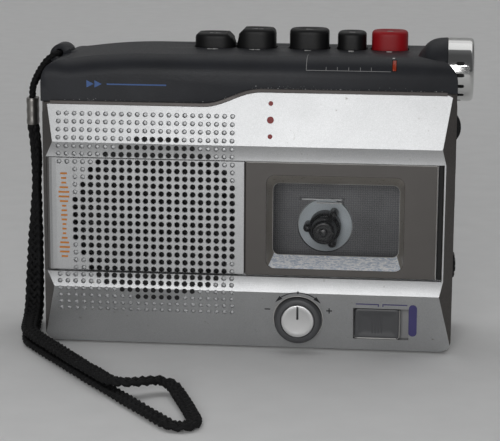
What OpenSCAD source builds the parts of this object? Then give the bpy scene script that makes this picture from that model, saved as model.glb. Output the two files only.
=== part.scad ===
// Hand-held cassette recorder standing on its long side, front towards -Y, keys up.
// Origin: middle of the base, without the hand strap. Millimetres.

/* [Cassette] */
// Length of the cassette that the bay takes
cassette_l = 100.4; // [98:0.1:104]
// Height of the cassette
cassette_h = 63.8; // [62:0.1:66]
// Thickness of the cassette away from its head edge
cassette_t = 8.7; // [8:0.1:9.4]
// Distance between the two hub centres
hub_spacing = 42.5; // [41:0.1:44]
// Height of the hub line above the closed edge of the cassette
hub_rise = 29.2; // [28.5:0.1:30]

/* [Housing] */
// Wall of the rear shell and the top cover
wall = 1.5; // [1.2:0.1:2]
// Room between the cassette and what guides it
bay_gap = 0.3; // [0.2:0.05:0.6]
// Room left of the cassette
bay_left = 1.15; // [1:0.05:2]
// Room right of the cassette, for the deck wall and the catch
bay_right = 3.85; // [3.6:0.05:6]
// Height from the cassette to the top of the cover
key_room = 12.4; // [11.8:0.1:14]
// Depth from the front ridges to the middle of the cassette
lid_room = 13.45; // [13:0.05:16]
// Radius of the cover's upper left corner
corner_r = 8; // [6:0.5:8.5]
// Radius of the cover's front shoulder
shoulder_r = 5; // [3:0.5:7]
// Set-back of the cover's front face from the ridges
cover_back = 2.5; // [2:0.1:3]
// Height of the joint between the rear shell and the top cover
split_z = 64; // [63:0.5:65]
// Clearance between pieces that move past each other
fit_gap = 0.3; // [0.2:0.05:0.4]
// Running clearance of shafts, pins and spindles, on the radius
run_gap = 0.05; // [0.02:0.01:0.1]
// Room at a seat between pieces of one body
seat_gap = 0.1; // [0.05:0.05:0.2]

/* [Lid] */
// Height of the lid's lower edge above the base
lid_lift = 0.5; // [0.4:0.1:1.5]
// Height of the lower bevel
bevel_low = 16; // [15:0.1:18]
// Height of the upper bevel, left of the step
bevel_high = 9.8; // [8:0.1:11]
// Set-back of the lid's lower edge from the ridge
bevel_low_drop = 4.5; // [3.5:0.1:5]
// Set-back of the lid's upper edge from the ridge, left of the step
bevel_high_drop = 2; // [1.5:0.1:2.4]
// Height of the sloped bands beside the panel
band_h = 4; // [3:0.1:5]
// Depth of the panel below the ridges
valley = 1.2; // [0.8:0.1:1.4]
// Rise of the lid's upper edge at its step
lid_step = 4; // [3:0.1:4.5]
// Left end of the step, from the left end of the body
step_start = 43; // [40:0.5:46]
// Length of the step
step_l = 15; // [12:0.5:18]
// Width of the end bevels
end_run = 3.4; // [2.5:0.1:4]
// Set-back of the end bevels
end_drop = 4.2; // [3:0.1:5]
// Wall of the lid
lid_wall = 1.2; // [1:0.1:1.25]
// Radius of the lid's corners, seen from the front
lid_corner = 3; // [2:0.5:4]
// Depth of the lid from its ridges to its rear edge
lid_d = 12.8; // [12:0.1:13]

/* [Grille and window] */
// Thickness of the two front panels
panel_t = 1.2; // [0.8:0.1:1.4]
// Length of the grille panel from the left end of the body
grille_l = 54; // [50:0.5:56]
// Right end of the window panel, from the right end of the body
window_end = 4.4; // [4:0.1:6]
// Diameter of a grille hole
grille_hole = 1.25; // [0.9:0.05:1.5]
// Distance between grille holes
grille_pitch = 2.08; // [1.9:0.02:2.4]
// Radius of the field of open holes
grille_r = 21; // [16:0.5:21.5]
// Outer diameter of the speaker
speaker_d = 36; // [32:0.5:38]
// Depth of the window recess
pocket_depth = 5.2; // [3:0.1:5.4]
// Width of the window panel left of the recess
frame_left = 5.6; // [4:0.1:8]
// Width of the window panel right of the recess
frame_right = 8.5; // [4:0.1:10]
// Height of the window recess at its mouth
pocket_h = 25.9; // [22:0.1:27]
// Slope of the recess's long walls, across
pocket_run = 3.35; // [2:0.05:4]
// Slope of the recess's short walls, across
pocket_end_run = 1.35; // [0.8:0.05:2]
// Thickness of the clear pane
pane_t = 1; // [0.8:0.1:1.2]

/* [Lid controls] */
// Diameter of the speed knob
knob_d = 12.6; // [10:0.1:13]
// Diameter of the knob's silver cap
knob_cap_d = 8.5; // [6:0.1:9]
// Height of the knob's axis above the base
knob_z = 9; // [8.5:0.1:10]
// Length of the mode slider
slider_l = 12; // [8:0.1:13]
// Height of the mode slider
slider_h = 8.4; // [6:0.1:9]
// Travel of the mode slider
slider_travel = 2; // [1:0.1:3]

/* [Keys] */
// Travel of the keys
key_travel = 3.5; // [2.5:0.1:3.6]
// Depth of the key caps, front to back
key_depth = 9; // [7:0.5:9.5]
// Set-back of the key caps from the middle of the depth
key_y = 3; // [2.5:0.1:4]

/* [Microphone] */
// Radius of the microphone pod
mic_r = 8.2; // [7:0.1:8.4]
// Length of the chrome cap
mic_cap_l = 6.9; // [6:0.1:8]
// Reach of the chrome cap past the right end of the body
mic_overhang = 4; // [3:0.1:5]

/* [Batteries] */
// Diameter of a battery cell
cell_d = 14.5; // [13.9:0.1:14.5]
// Length of a battery cell
cell_l = 50.5; // [49:0.1:50.5]
// Wall of the battery box
cell_wall = 0.9; // [0.8:0.1:1.4]
// Room around a cell
cell_gap = 0.175; // [0.1:0.025:0.4]
// Thickness of the battery cover
cover_t = 1.55; // [1.4:0.05:2]

/* [Deck] */
// Thickness of the deck floor
floor_t = 1.3; // [1:0.1:1.6]
// Thickness of the steel chassis plate
chassis_t = 0.8; // [0.6:0.1:1.2]
// Diameter of the reel discs
reel_d = 14.4; // [12:0.1:15]
// Radius of a spindle at its foot, over the fins
spindle_r = 4.4; // [3.6:0.1:4.4]
// Radius of the capstan
capstan_r = 1; // [0.8:0.05:1.2]
// Radius of the pinch roller
roller_r = 4; // [3.5:0.1:4.2]
// Radius of the flywheel
flywheel_r = 10; // [8:0.1:10.2]
// Radius of the motor pulley
pulley_r = 2.5; // [2.2:0.1:3]
// Radius of the motor
motor_r = 10.5; // [9:0.1:11]

/* [End controls] */
// Radius of the volume wheel
volume_r = 10; // [9:0.1:10.5]
// Reach of the volume wheel past the right end
volume_reach = 1; // [0.6:0.1:1.4]
// Reach of the voice slider past the right end
voice_reach = 1.4; // [1:0.1:1.6]
// Travel of the voice slider
voice_travel = 3; // [2:0.1:3.4]
// Radius of the jack bores
jack_r = 1.8; // [1.75:0.05:1.85]

/* [Hidden] */
$fn = 48;
eps = 0.01;

// Overall box of the housing
body_l = cassette_l + bay_left + bay_right + 2 * wall;
body_d = lid_room + cassette_t / 2 + bay_gap + floor_t + 2 * seat_gap + chassis_t + fit_gap
  + cell_wall + 2 * cell_gap + cell_d + cover_t;
x_left = -(body_l + mic_overhang) / 2;
x_right = x_left + body_l;
x_mid = (x_left + x_right) / 2;
y_front = -body_d / 2;
y_back = body_d / 2;

// Cassette and deck layers, front to back
cassette_z = wall + bay_gap;
cassette_top = cassette_z + cassette_h;
body_h = cassette_top + key_room;
hub_z = cassette_z + hub_rise;
cassette_x = x_left + wall + bay_left + cassette_l / 2;
supply_x = cassette_x - hub_spacing / 2;
takeup_x = cassette_x + hub_spacing / 2;
cassette_y = y_front + lid_room;
floor_y = cassette_y + cassette_t / 2 + bay_gap;
chassis_y = floor_y + floor_t + 2 * seat_gap;
chassis_back = chassis_y + chassis_t;
box_y = chassis_back + fit_gap;
cell_y = box_y + cell_wall + cell_gap + cell_d / 2;
cover_y = y_back - cover_t;
inner_back = y_back - wall;

bay_x = [cassette_x - cassette_l / 2 - bay_gap, cassette_x + cassette_l / 2 + bay_gap];

// Lid lines
lid_back = y_front + lid_d;
rim_y = lid_back + 0.5 + fit_gap;
lid_top = cassette_top - 0.5;
lid_top_right = lid_top + lid_step;
ridge_low = lid_lift + bevel_low;
seam_low = ridge_low + band_h;
ridge_high = lid_top - bevel_high;
seam_high = ridge_high - band_h;
panel_y = y_front + valley;
panel_back = panel_y + panel_t;
seam_x = x_left + grille_l;
window_x = x_right - window_end;
notch_w = 1.6;
edge_gap = 0.15;
cover_lip = 0.5;

// Hinge of the lid, an upright line at the left end
pin_r = 0.6;
hinge_x = x_left + 1.5;
hinge_y = y_front + 7;
ear_t = 1.8;
ear_h = 3;
ear_low = lid_lift + lid_wall + fit_gap;
ear_high = lid_top - lid_wall - fit_gap - ear_h;
web_h = 1.5;

// Speaker, knob and slider places on the lid
speaker_x = x_left + 31;
speaker_z = (seam_low + seam_high) / 2 - 0.75;
speaker_y = panel_back + seat_gap;
speaker_depth = 5.1;
knob_x = x_mid + 14;
knob_front = y_front + 0.3;
knob_back = y_front + 3.4;
slider_x = x_mid + 28.8;
slider_z = 8.2;
slider_front = y_front + 2.3;
slider_back = y_front + 5.4;
switch_x = [slider_x - 2.8, slider_x + slider_l + slider_travel + 2.8];
pocket_x = seam_x + frame_left;
pocket_l = window_x - frame_right - pocket_x;
pocket_z = seam_low + 1.5;

// Capstan drive, behind the chassis plate
capstan_x = cassette_x + 23;
roller_rest = cassette_top + 0.6 + roller_r;
capstan_z = roller_rest - key_travel - roller_r - fit_gap - capstan_r;
drive_y = chassis_back + fit_gap;
drive_t = 1.5;
drive_hub_r = 2.5;
drive_dx = capstan_x - takeup_x;
drive_dz = capstan_z - hub_z;
drive_span = sqrt(drive_dx * drive_dx + drive_dz * drive_dz);
idler_r = (drive_span - reel_d / 2 - drive_hub_r) / 2 - run_gap;
idler_along = (reel_d / 2 + run_gap + idler_r) / drive_span;
idler_x = takeup_x + drive_dx * idler_along;
idler_z = hub_z + drive_dz * idler_along;
belt_y = y_back - 7.4;
belt_t = 1.2;
belt_r = 0.8;
motor_x = supply_x + 2.6;
motor_z = hub_z + 17;
motor_y = chassis_back + seat_gap;
motor_l = belt_y - 4 * fit_gap - seat_gap - motor_y;
guide_back = belt_y - 0.8;

// Keys: middle along X, width, rise above the cover, slant at the left and right of the top
KEY_X = [-10.85, 0.25, 14.5, 25.95, 36.05];
KEY_W = [10.9, 10.5, 10.6, 7.7, 9.7];
KEY_RISE = [3.8, 5.1, 5.2, 4.6, 5];
KEY_SLANT = [[1, 2], [2, 1], [1.2, 1.2], [1, 1], [1.1, 1.1]];
key_r = 3;
STEM_DX = [0, 0, -1.4, 2.4, 0];
cover_in = body_h - wall;
key_low = cover_in - 0.3;
flange_h = 1;
flange_w = 0.8;
guide_top = cassette_top + 0.9;
guide_h = 3;
stem_y = y_front + 23.2;
stem_t = 1.6;
stem_w = 4;
spring_y = stem_y + 4;
spring_r = 1.5;

// Head plate, in front of the chassis plate
plate_y = chassis_y - fit_gap - 1.2;
plate_low = cassette_top + key_travel + 0.3;
plate_high = cover_in - 1.2;

// Right-end controls
end_y = y_front + 25;
volume_x = x_right + volume_reach - volume_r;
volume_z = hub_z - 12;
volume_t = 4;
volume_slot = sqrt(volume_r * volume_r - pow(volume_r - volume_reach - wall, 2)) + 2 * fit_gap;
jack_z = [hub_z + 16, hub_z + 7];
jack_y = y_front + 29;
plate_end = [jack_y - 5, jack_y + 4.6];
plate_foot = jack_z[1] - 5;
voice_z = hub_z + 26;
voice_l = 7;
board_y = inner_back - seat_gap - 1.2 - 0.8;
board_x = x_mid + 5;

// Microphone pod and strap lug
mic_x = x_right + mic_overhang - mic_cap_l;
mic_y = y_front + 13;
mic_z = body_h - 3.4;
lug_x = x_left + 1.9;
lug_z = body_h - 2.7;
lug_r = 3.1;
lug_y = y_front + 21;
lug_l = 6;
eye_x = lug_x - 0.5;
eye_z = lug_z + 0.7;
eye_r = 1.1;

// Hand strap: round numbers along its middle line, counted from the left end of the body
strap_w = 4.4;
strap_t = 2.2;
cord_d = 1.6;
ferrule = [x_left - 6.8, 5];
ferrule_high = eye_z - 12.7;
ferrule_low = ferrule_high - 7.2;
LOOP_ROUTE = [
  [-6.8, 3.8, ferrule_low], [-6, 3.8, 0.8 * ferrule_low], [-6.8, 3.8, 0.37 * ferrule_low], [-7.1, 3.4, 12],
  [-6.9, 1, 6.4], [-6.3, -4, 3.8], [-5.3, -10.5, 3.6], [-3.9, -17, 3.6], [0, -24, 3.6], [5, -31.3, 3.6],
  [16.4, -47.8, 3.6], [21.2, -54.2, 3.6], [24.6, -58.9, 3.6], [27.6, -61.4, 3.8], [31, -61.6, 3.9],
  [34, -60.1, 3.8], [36.4, -58.2, 3.5], [38, -57.5, 3.1], [39.8, -58, 2.7], [41.1, -59.4, 2.3],
  [42.6, -62.4, 1.7], [45.9, -71, 1.2], [48.5, -79.2, 1.2], [49, -82, 1.2], [48.8, -84, 1.2],
  [47.4, -85.4, 1.2], [45.2, -85.6, 1.2], [43.5, -84.5, 1.2], [41, -81.4, 1.2], [32.1, -69.4, 1.2],
  [20.6, -53.6, 1.2], [10.6, -39.4, 1.2], [-0.2, -24, 1.2], [-3.9, -17, 1.2], [-6.1, -3, 1.2],
  [-6.8, 3.6, 3.2], [-7.1, 6.2, 10], [-6.8, 6.2, 0.37 * ferrule_low], [-6, 6.2, 0.8 * ferrule_low],
  [-6.8, 6.2, ferrule_low]];
CORD_ROUTE = [
  [-6.8, 4, -12.7], [-6.8, 4, -11.2], [-6.4, 3.4, -9], [-4.4, 1.4, -5.2], [-1.6, 0, -1.6], [0.6, 0, 0],
  [1.4, 1.6, 0],
  [1.4, 5, 0], [1.4, 8.4, 0], [0.6, 10, 0], [-1.6, 10, -1.6], [-4.4, 8.6, -5.2], [-6.4, 6.6, -9],
  [-6.8, 6, -11.2], [-6.8, 6, -12.7]];

// Helpers: extrusions and rods along each axis
module block(x0, x1, y0, y1, z0, z1) {
  translate([x0, y0, z0]) cube([x1 - x0, y1 - y0, z1 - z0]);
}
module slab_x(x0, x1) {
  translate([x0, 0, 0]) rotate([90, 0, 90]) linear_extrude(x1 - x0) children();
}
module slab_y(y0, y1) {
  translate([0, y1, 0]) rotate([90, 0, 0]) linear_extrude(y1 - y0) children();
}
module slab_z(z0, z1) {
  translate([0, 0, z0]) linear_extrude(z1 - z0) children();
}
module rod_x(r, x0, x1, y, z) {
  translate([x0, y, z]) rotate([0, 90, 0]) cylinder(r = r, h = x1 - x0);
}
module rod_y(r, x, z, y0, y1) {
  translate([x, y0, z]) rotate([-90, 0, 0]) cylinder(r = r, h = y1 - y0);
}
module cone_y(r0, r1, x, z, y0, y1) {
  translate([x, y0, z]) rotate([-90, 0, 0]) cylinder(r1 = r0, r2 = r1, h = y1 - y0);
}
module rod_z(r, x, y, z0, z1) {
  translate([x, y, z0]) cylinder(r = r, h = z1 - z0);
}
// A rectangle with its two upper corners rounded
module rounded_top(u0, u1, v0, v1, r0, r1) {
  translate([u0 + r0, v0]) square([u1 - u0 - r0 - r1, v1 - v0]);
  translate([u0, v0]) square([r0 + eps, v1 - r0 - v0]);
  translate([u1 - r1 - eps, v0]) square([r1 + eps, v1 - r1 - v0]);
  translate([u0 + r0, v1 - r0]) circle(r0);
  translate([u1 - r1, v1 - r1]) circle(r1);
}
// Top view of a key with round corners, or of its slot
module key_plan(k, grow) {
  u0 = x_mid + KEY_X[k] - KEY_W[k] / 2;
  u1 = x_mid + KEY_X[k] + KEY_W[k] / 2;
  v1 = key_y + key_depth;
  translate([u0 + key_r, key_y - grow]) square([u1 - u0 - 2 * key_r, key_depth + 2 * grow]);
  translate([u0 - grow, key_y + key_r]) square([u1 - u0 + 2 * grow, key_depth - 2 * key_r]);
  for (u = [u0 + key_r, u1 - key_r], v = [key_y + key_r, v1 - key_r])
    translate([u, v]) circle(key_r + grow);
}
function arc(cu, cv, r, a0, a1, n) =
  [for (i = [0:n]) [cu + r * cos(a0 + (a1 - a0) * i / n), cv + r * sin(a0 + (a1 - a0) * i / n)]];

// Front view of the lid: round corners and an S-shaped step in the upper edge
function lid_outline(grow, inset) = let (
    u0 = x_left + inset, u1 = x_right - inset, v0 = lid_lift + inset - grow,
    low = lid_top + grow - inset, high = lid_top_right + grow - inset,
    r = lid_corner, n = 5, s = 12, mid = (low + high) / 2, half = (high - low) / 2)
  concat(
    arc(u0 + r, v0 + r, r, 180, 270, n),
    arc(u1 - r, v0 + r, r, 270, 360, n),
    arc(u1 - r, high - r, r, 0, 90, n),
    [for (i = [0:s]) [x_left + step_start + step_l * (1 - i / s), mid + half * cos(180 * i / s)]],
    arc(u0 + r, low - r, r, 90, 180, n));
function high_y(z) = y_front + bevel_high_drop * (z - ridge_high) / bevel_high;
// Side view of the lid: two bevels, two bands and the sunk panel
function lid_side(t) = [
  [lid_back + 1, lid_lift - 1 + t], [y_front + bevel_low_drop + t, lid_lift - 1 + t],
  [y_front + bevel_low_drop + t, lid_lift + t],
  [y_front + t, ridge_low], [panel_y + t, seam_low], [panel_y + t, seam_high],
  [y_front + t, ridge_high], [high_y(lid_top_right + 1) + t, lid_top_right + 1],
  [lid_back + 1, lid_top_right + 1]];
module lid_form() {
  intersection() {
    slab_x(x_left, x_right) polygon(lid_side(0));
    slab_z(lid_lift, lid_top_right) polygon([
      [x_left, lid_back], [x_left, y_front + end_drop], [x_left + end_run, y_front],
      [x_right - end_run, y_front], [x_right, y_front + end_drop], [x_right, lid_back]]);
    slab_y(y_front, lid_back) polygon(lid_outline(0, 0));
  }
}
module lid_hollow() {
  t = lid_wall;
  intersection() {
    slab_x(x_left + t, x_right - t) polygon(lid_side(t));
    slab_z(lid_lift, lid_top_right) polygon([
      [x_left + t, lid_back + 1], [x_left + t, y_front + end_drop + t / 2],
      [x_left + end_run + t / 2, y_front + t], [x_right - end_run - t / 2, y_front + t],
      [x_right - t, y_front + end_drop + t / 2], [x_right - t, lid_back + 1]]);
    slab_y(y_front, lid_back + 1) polygon(lid_outline(0, t));
  }
}
// The two hinge ears and the room that they turn in
module at_ears() {
  for (z = [ear_low, ear_high]) translate([0, 0, z]) children();
}
module lid_shell() {
  color("silver") difference() {
    union() {
      difference() {
        lid_form();
        lid_hollow();
        block(x_left + lid_wall, window_x + notch_w, y_front - 1, panel_back + 4, seam_low, seam_high);
        rod_y(knob_d / 2 + fit_gap, knob_x, knob_z, y_front - 1, knob_back + 4);
      }
      // Cup behind the knob, with a hole for the shaft
      intersection() {
        lid_form();
        difference() {
          rod_y(knob_d / 2 + fit_gap + 0.9, knob_x, knob_z, y_front, knob_back + 1.1);
          rod_y(knob_d / 2 + fit_gap, knob_x, knob_z, y_front - 1, knob_back + fit_gap);
        }
      }
      // Ledges that carry the two panels
      for (u = [[x_left + lid_wall + 3, x_left + 12], [seam_x - 2, window_x + notch_w + 0.4]]) {
        block(u[0], u[1], panel_back + seat_gap, panel_back + 1.2, seam_low - 1.4, seam_low + 0.8);
        block(u[0], u[1], panel_back + seat_gap, panel_back + 1.2, seam_high - 0.8, seam_high + 1.4);
        block(u[0], u[1], panel_y + 0.6, panel_back + 1.2, seam_low - 1.4, seam_low - eps);
        block(u[0], u[1], panel_y + 0.6, panel_back + 1.2, seam_high + eps, seam_high + 1.4);
      }
      // Floor of the finger notch
      block(window_x - 0.5, window_x + notch_w + 0.4, panel_back + 1, panel_back + 2,
        seam_low - 1.4, seam_high + 1.4);
      // Posts that carry the mode switch
      intersection() {
        lid_form();
        for (x = switch_x) rod_y(1.2, x, slider_z + 2, y_front, slider_back + fit_gap - seat_gap);
      }
      // Webs beside the ears that take the pins
      intersection() {
        lid_form();
        union() {
          block(x_left, hinge_x + 1.6, y_front + 4.4, hinge_y + 1.6, ear_low + ear_h + fit_gap,
            ear_low + ear_h + fit_gap + web_h);
          block(x_left, hinge_x + 1.6, y_front + 4.4, hinge_y + 1.6, ear_high - fit_gap - web_h,
            ear_high - fit_gap);
        }
      }
    }
    // Shaft hole, slider slot, ear notches and pin bores
    rod_y(1.5 + run_gap, knob_x, knob_z, y_front, knob_back + 3);
    block(slider_x - fit_gap, slider_x + slider_l + slider_travel + fit_gap, y_front - 1, lid_back,
      slider_z - slider_h / 2 - fit_gap, slider_z + slider_h / 2 + fit_gap);
    at_ears() block(x_left - 1, hinge_x + 1.9, hinge_y - 1.3, lid_back + 1, -fit_gap, ear_h + fit_gap);
    rod_z(pin_r + run_gap, hinge_x, hinge_y, lid_lift + 0.6, ear_low + ear_h + fit_gap + web_h + 1);
    rod_z(pin_r + run_gap, hinge_x, hinge_y, ear_high - fit_gap - web_h - 1, lid_top - 0.6);
    // Room for the cassette's head edge, the heads and the microphone cap
    block(bay_x[0], bay_x[1], cassette_y - cassette_t / 2 - 0.4, lid_back + 1, cassette_top - 4, body_h);
    block(cassette_x - 36, cassette_x + 36, cassette_y - cassette_t / 2 - 2, lid_back + 1,
      cassette_top - 18,
      body_h);
    rod_x(mic_r + fit_gap, mic_x - fit_gap, x_right + 1, mic_y, mic_z);
  }
}
// Grille hole places: columns run right from the left end, rows run down from the lid's top edge
first_column = 4.9;
first_row = 2.4;
columns = 23;
rows = 27;
function column_x(i) = x_left + first_column + grille_pitch * i;
function row_z(j) = lid_top - first_row - grille_pitch * j;
function in_field(x, z) = norm([x - speaker_x, z - speaker_z]) < grille_r;
module grille_panel() {
  color("darkgray") difference() {
    intersection() {
      lid_form();
      block(x_left + lid_wall + edge_gap, seam_x - edge_gap / 2, y_front, panel_back, seam_low + edge_gap,
        seam_high - edge_gap);
    }
    for (i = [0:columns - 1], j = [0:rows - 1])
      if (in_field(column_x(i), row_z(j)) && row_z(j) > seam_low + 1 && row_z(j) < seam_high - 1)
        rod_y(grille_hole / 2, column_x(i), row_z(j), panel_y - 1, panel_back + 1);
  }
}
// Sloped window recess; grow gives its outside
module pocket(grow, y0, y1) {
  hull() {
    block(pocket_x - grow, pocket_x + pocket_l + grow, y0, y0 + eps, pocket_z - grow,
      pocket_z + pocket_h + grow);
    block(pocket_x + pocket_end_run - grow, pocket_x + pocket_l - pocket_end_run + grow, y1 - eps, y1,
      pocket_z + pocket_run - grow, pocket_z + pocket_h - pocket_run + grow);
  }
}
pane_y = panel_y + pocket_depth;
module window_panel() {
  color("dimgray") difference() {
    union() {
      intersection() {
        lid_form();
        block(seam_x + edge_gap / 2, window_x, y_front, panel_back, seam_low + edge_gap,
          seam_high - edge_gap);
      }
      pocket(0.9, panel_y + 0.4, pane_y);
    }
    pocket(0, panel_y - eps, pane_y + eps);
  }
}
module window_pane() {
  color([0.75, 0.8, 0.82, 0.4])
    block(pocket_x + pocket_end_run - 0.9, pocket_x + pocket_l - pocket_end_run + 0.9, pane_y,
      pane_y + pane_t, pocket_z + pocket_run - 0.9, pocket_z + pocket_h - pocket_run + 0.9);
}
// Loudspeaker: flanged basket, paper cone, magnet
module at_speaker() {
  translate([speaker_x, speaker_y, speaker_z]) rotate([-90, 0, 0]) children();
}
speaker_r = speaker_d / 2;
magnet_r = 9;
magnet_h = 1.8;
cone_depth = speaker_depth - magnet_h;
module speaker_frame() {
  color("gray") at_speaker() rotate_extrude() polygon([
    [speaker_r - 2, 0], [speaker_r, 0], [speaker_r, 1], [speaker_r - 1.2, 1], [magnet_r + 1, cone_depth],
    [magnet_r - 4, cone_depth], [magnet_r - 4, cone_depth - 0.7], [magnet_r + 0.4, cone_depth - 0.7],
    [speaker_r - 2, 0.8]]);
}
module speaker_cone() {
  color("black") at_speaker() rotate_extrude() polygon([
    [0, 1.2], [4, 1.2], [4.6, 1.6], [speaker_r - 3.4, 0.5], [speaker_r - 2.05, 0.2],
    [speaker_r - 2.05, 0.6], [speaker_r - 3.4, 0.9], [5, 2.2], [4, 2.5], [0, 1.8]]);
}
module speaker_magnet() {
  color("dimgray") at_speaker() translate([0, 0, cone_depth]) cylinder(r = magnet_r, h = magnet_h);
}
module speed_pot() {
  color("darkgreen") union() {
    block(knob_x - 5, knob_x + 5, knob_back + 2, lid_back - 4.2, knob_z - 5, knob_z + 5);
    rod_y(3, knob_x, knob_z, knob_back + 1.1 + seat_gap, knob_back + 2.5);
    rod_y(1.5, knob_x, knob_z, knob_back - 1.6, knob_back + 2.5);
  }
}
module mode_switch() {
  color("darkslategray") union() {
    block(slider_x - 1, slider_x + slider_l + slider_travel + 1, slider_back + fit_gap, lid_back - 4.2,
      slider_z - slider_h / 2 - 0.8, slider_z + slider_h / 2 + 2.4);
    block(switch_x[0] - 1.4, switch_x[1] + 1.4, slider_back + fit_gap, slider_back + 1.3, slider_z,
      slider_z + 4);
  }
}
module lid_catch() {
  color("black") union() {
    block(x_right - wall - 2.2, x_right - lid_wall - seat_gap, lid_back - 4, lid_back, hub_z - 6,
      hub_z + 6);
    block(x_right - wall - 1.9, x_right - wall - 0.7, lid_back - 1, lid_back + 3, hub_z - 4, hub_z + 4);
  }
}
module speed_knob() {
  color("dimgray") difference() {
    union() {
      rod_y(knob_d / 2, knob_x, knob_z, knob_front + 1.2, knob_back);
      cone_y(knob_cap_d / 2 + 0.7, knob_d / 2, knob_x, knob_z, knob_front, knob_front + 1.2);
    }
    rod_y(knob_cap_d / 2 + seat_gap, knob_x, knob_z, knob_front - 1, knob_front + 0.5);
    rod_y(1.5 + run_gap, knob_x, knob_z, knob_back - 1.7, knob_back + 1);
    for (a = [0:15:345])
      translate([knob_x, 0, knob_z]) rotate([0, a, 0])
        rod_y(0.35, knob_d / 2 + 0.1, 0, knob_front + 1.2, knob_back + 1);
  }
}
module knob_cap() {
  color("silver") difference() {
    rod_y(knob_cap_d / 2, knob_x, knob_z, knob_front + 0.02, knob_front + 0.5);
    block(knob_x - 0.3, knob_x + 0.3, knob_front - 1, knob_front + 0.15, knob_z, knob_z + knob_cap_d);
  }
}
module mode_slider() {
  color("dimgray") difference() {
    block(slider_x, slider_x + slider_l, slider_front, slider_back, slider_z - slider_h / 2,
      slider_z + slider_h / 2);
    for (i = [-2:2])
      block(slider_x + slider_l / 2 + 0.7 * i - 0.15, slider_x + slider_l / 2 + 0.7 * i + 0.15,
        slider_front - 1, slider_front + 0.3, slider_z - slider_h / 2 + 1.2, slider_z + slider_h / 2 - 1.2);
  }
}
// Rear shell: back, base and ends, battery box, hinge ears, openings at the ends
shell_r = 3;
screw_x = [x_left + 12, x_mid + 8, x_right - 12];
boss_y = belt_y + 3 + fit_gap;
box_top = wall + 2 * cell_d + 6 * cell_gap;
box_right = x_left + wall + cell_l + 3.8;
cover_l = box_right + cell_wall - x_left;
module shell_form(inset) {
  intersection() {
    slab_y(rim_y - 1, y_back - inset) translate([0, split_z]) mirror([0, 1])
      rounded_top(x_left + inset, x_right - inset, -1, split_z - inset, shell_r - inset, shell_r - inset);
    slab_z(-1, split_z + 1)
      rounded_top(x_left + inset, x_right - inset, rim_y - 2, y_back - inset, shell_r - inset,
        shell_r - inset);
  }
}
// Opening for the battery cover, with its guide grooves
module cover_way() {
  block(x_left - 1, x_left + cover_l + fit_gap, cover_y - seat_gap, y_back + 1, wall + 0.8, box_top);
  block(x_left - 1, x_left + cover_l + fit_gap, cover_y - 1 - seat_gap, cover_y + seat_gap, wall + 0.1,
    box_top + 0.2 + fit_gap);
}
module battery_box() {
  color([0.12, 0.12, 0.13]) difference() {
    intersection() {
      shell_form(wall + seat_gap / 2);
      union() {
        block(x_left, box_right + cell_wall, box_y, box_y + cell_wall, 0, box_top + cell_wall);
        block(x_left, box_right + cell_wall, box_y, y_back, box_top, box_top + cell_wall);
        block(box_right, box_right + cell_wall, box_y, y_back, 0, box_top + cell_wall);
      }
    }
    cover_way();
  }
}
module rear_shell() {
  color([0.12, 0.12, 0.13]) difference() {
    union() {
      difference() {
        intersection() {
          shell_form(0);
          block(x_left, x_right, rim_y, y_back, 0, split_z);
        }
        intersection() {
          shell_form(wall);
          block(x_left, x_right, rim_y - 1, inner_back, wall, split_z + 0.5);
        }
      }
      // Hinge ears
      at_ears() {
        block(hinge_x - ear_t / 2, hinge_x + ear_t / 2, hinge_y, rim_y + 3, 0, ear_h);
        rod_z(ear_t / 2, hinge_x, hinge_y, 0, ear_h);
      }
      // Bosses that take the cover's screws
      for (x = screw_x)
        block(x - 2.6, x + 2.6, boss_y, inner_back - seat_gap, split_z - 3, split_z + 6.6);
      for (x = screw_x) block(x - 2.6, x + 2.6, boss_y, inner_back + eps, split_z - 3, split_z);
    }
    for (x = screw_x) rod_y(1.02, x, split_z + 4, boss_y - 1, y_back);
    at_ears() rod_z(pin_r, hinge_x, hinge_y, -1, ear_h + 1);
    cover_way();
    // Slots and holes in the right end
    block(x_right - wall - 1, x_right + 1, end_y - fit_gap, end_y + volume_t + fit_gap,
      volume_z - volume_slot, volume_z + volume_slot);
    block(x_right - wall - 1, x_right + 1, plate_end[0], plate_end[1], plate_foot, split_z + 1);
  }
}
module battery_cover() {
  color([0.12, 0.12, 0.13]) difference() {
    union() {
      intersection() {
        shell_form(0);
        block(x_left, x_left + cover_l, cover_y, y_back, wall + 0.8 + fit_gap, box_top - fit_gap);
      }
      for (z = [wall + 0.4, box_top - 1.4]) {
        step = z > cell_d ? -fit_gap : 0.4 + fit_gap + 0.1;
        block(x_left + wall + 0.5, x_left + cover_l, cover_y - 0.7, cover_y - 0.2, z, z + 1.6);
        block(x_left + wall + 0.5, x_left + cover_l, cover_y - 0.21, cover_y + eps, z + max(step, 0),
          z + 1.6 + min(step, 0) - (z > cell_d ? 0.2 : 0));
      }
    }
    // Finger ridges
    for (i = [0:5])
      block(x_left + 9 + 1.6 * i, x_left + 9.7 + 1.6 * i, y_back - 0.4, y_back + 1,
        wall + cell_d - 4, wall + cell_d + 4);
  }
}
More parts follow.
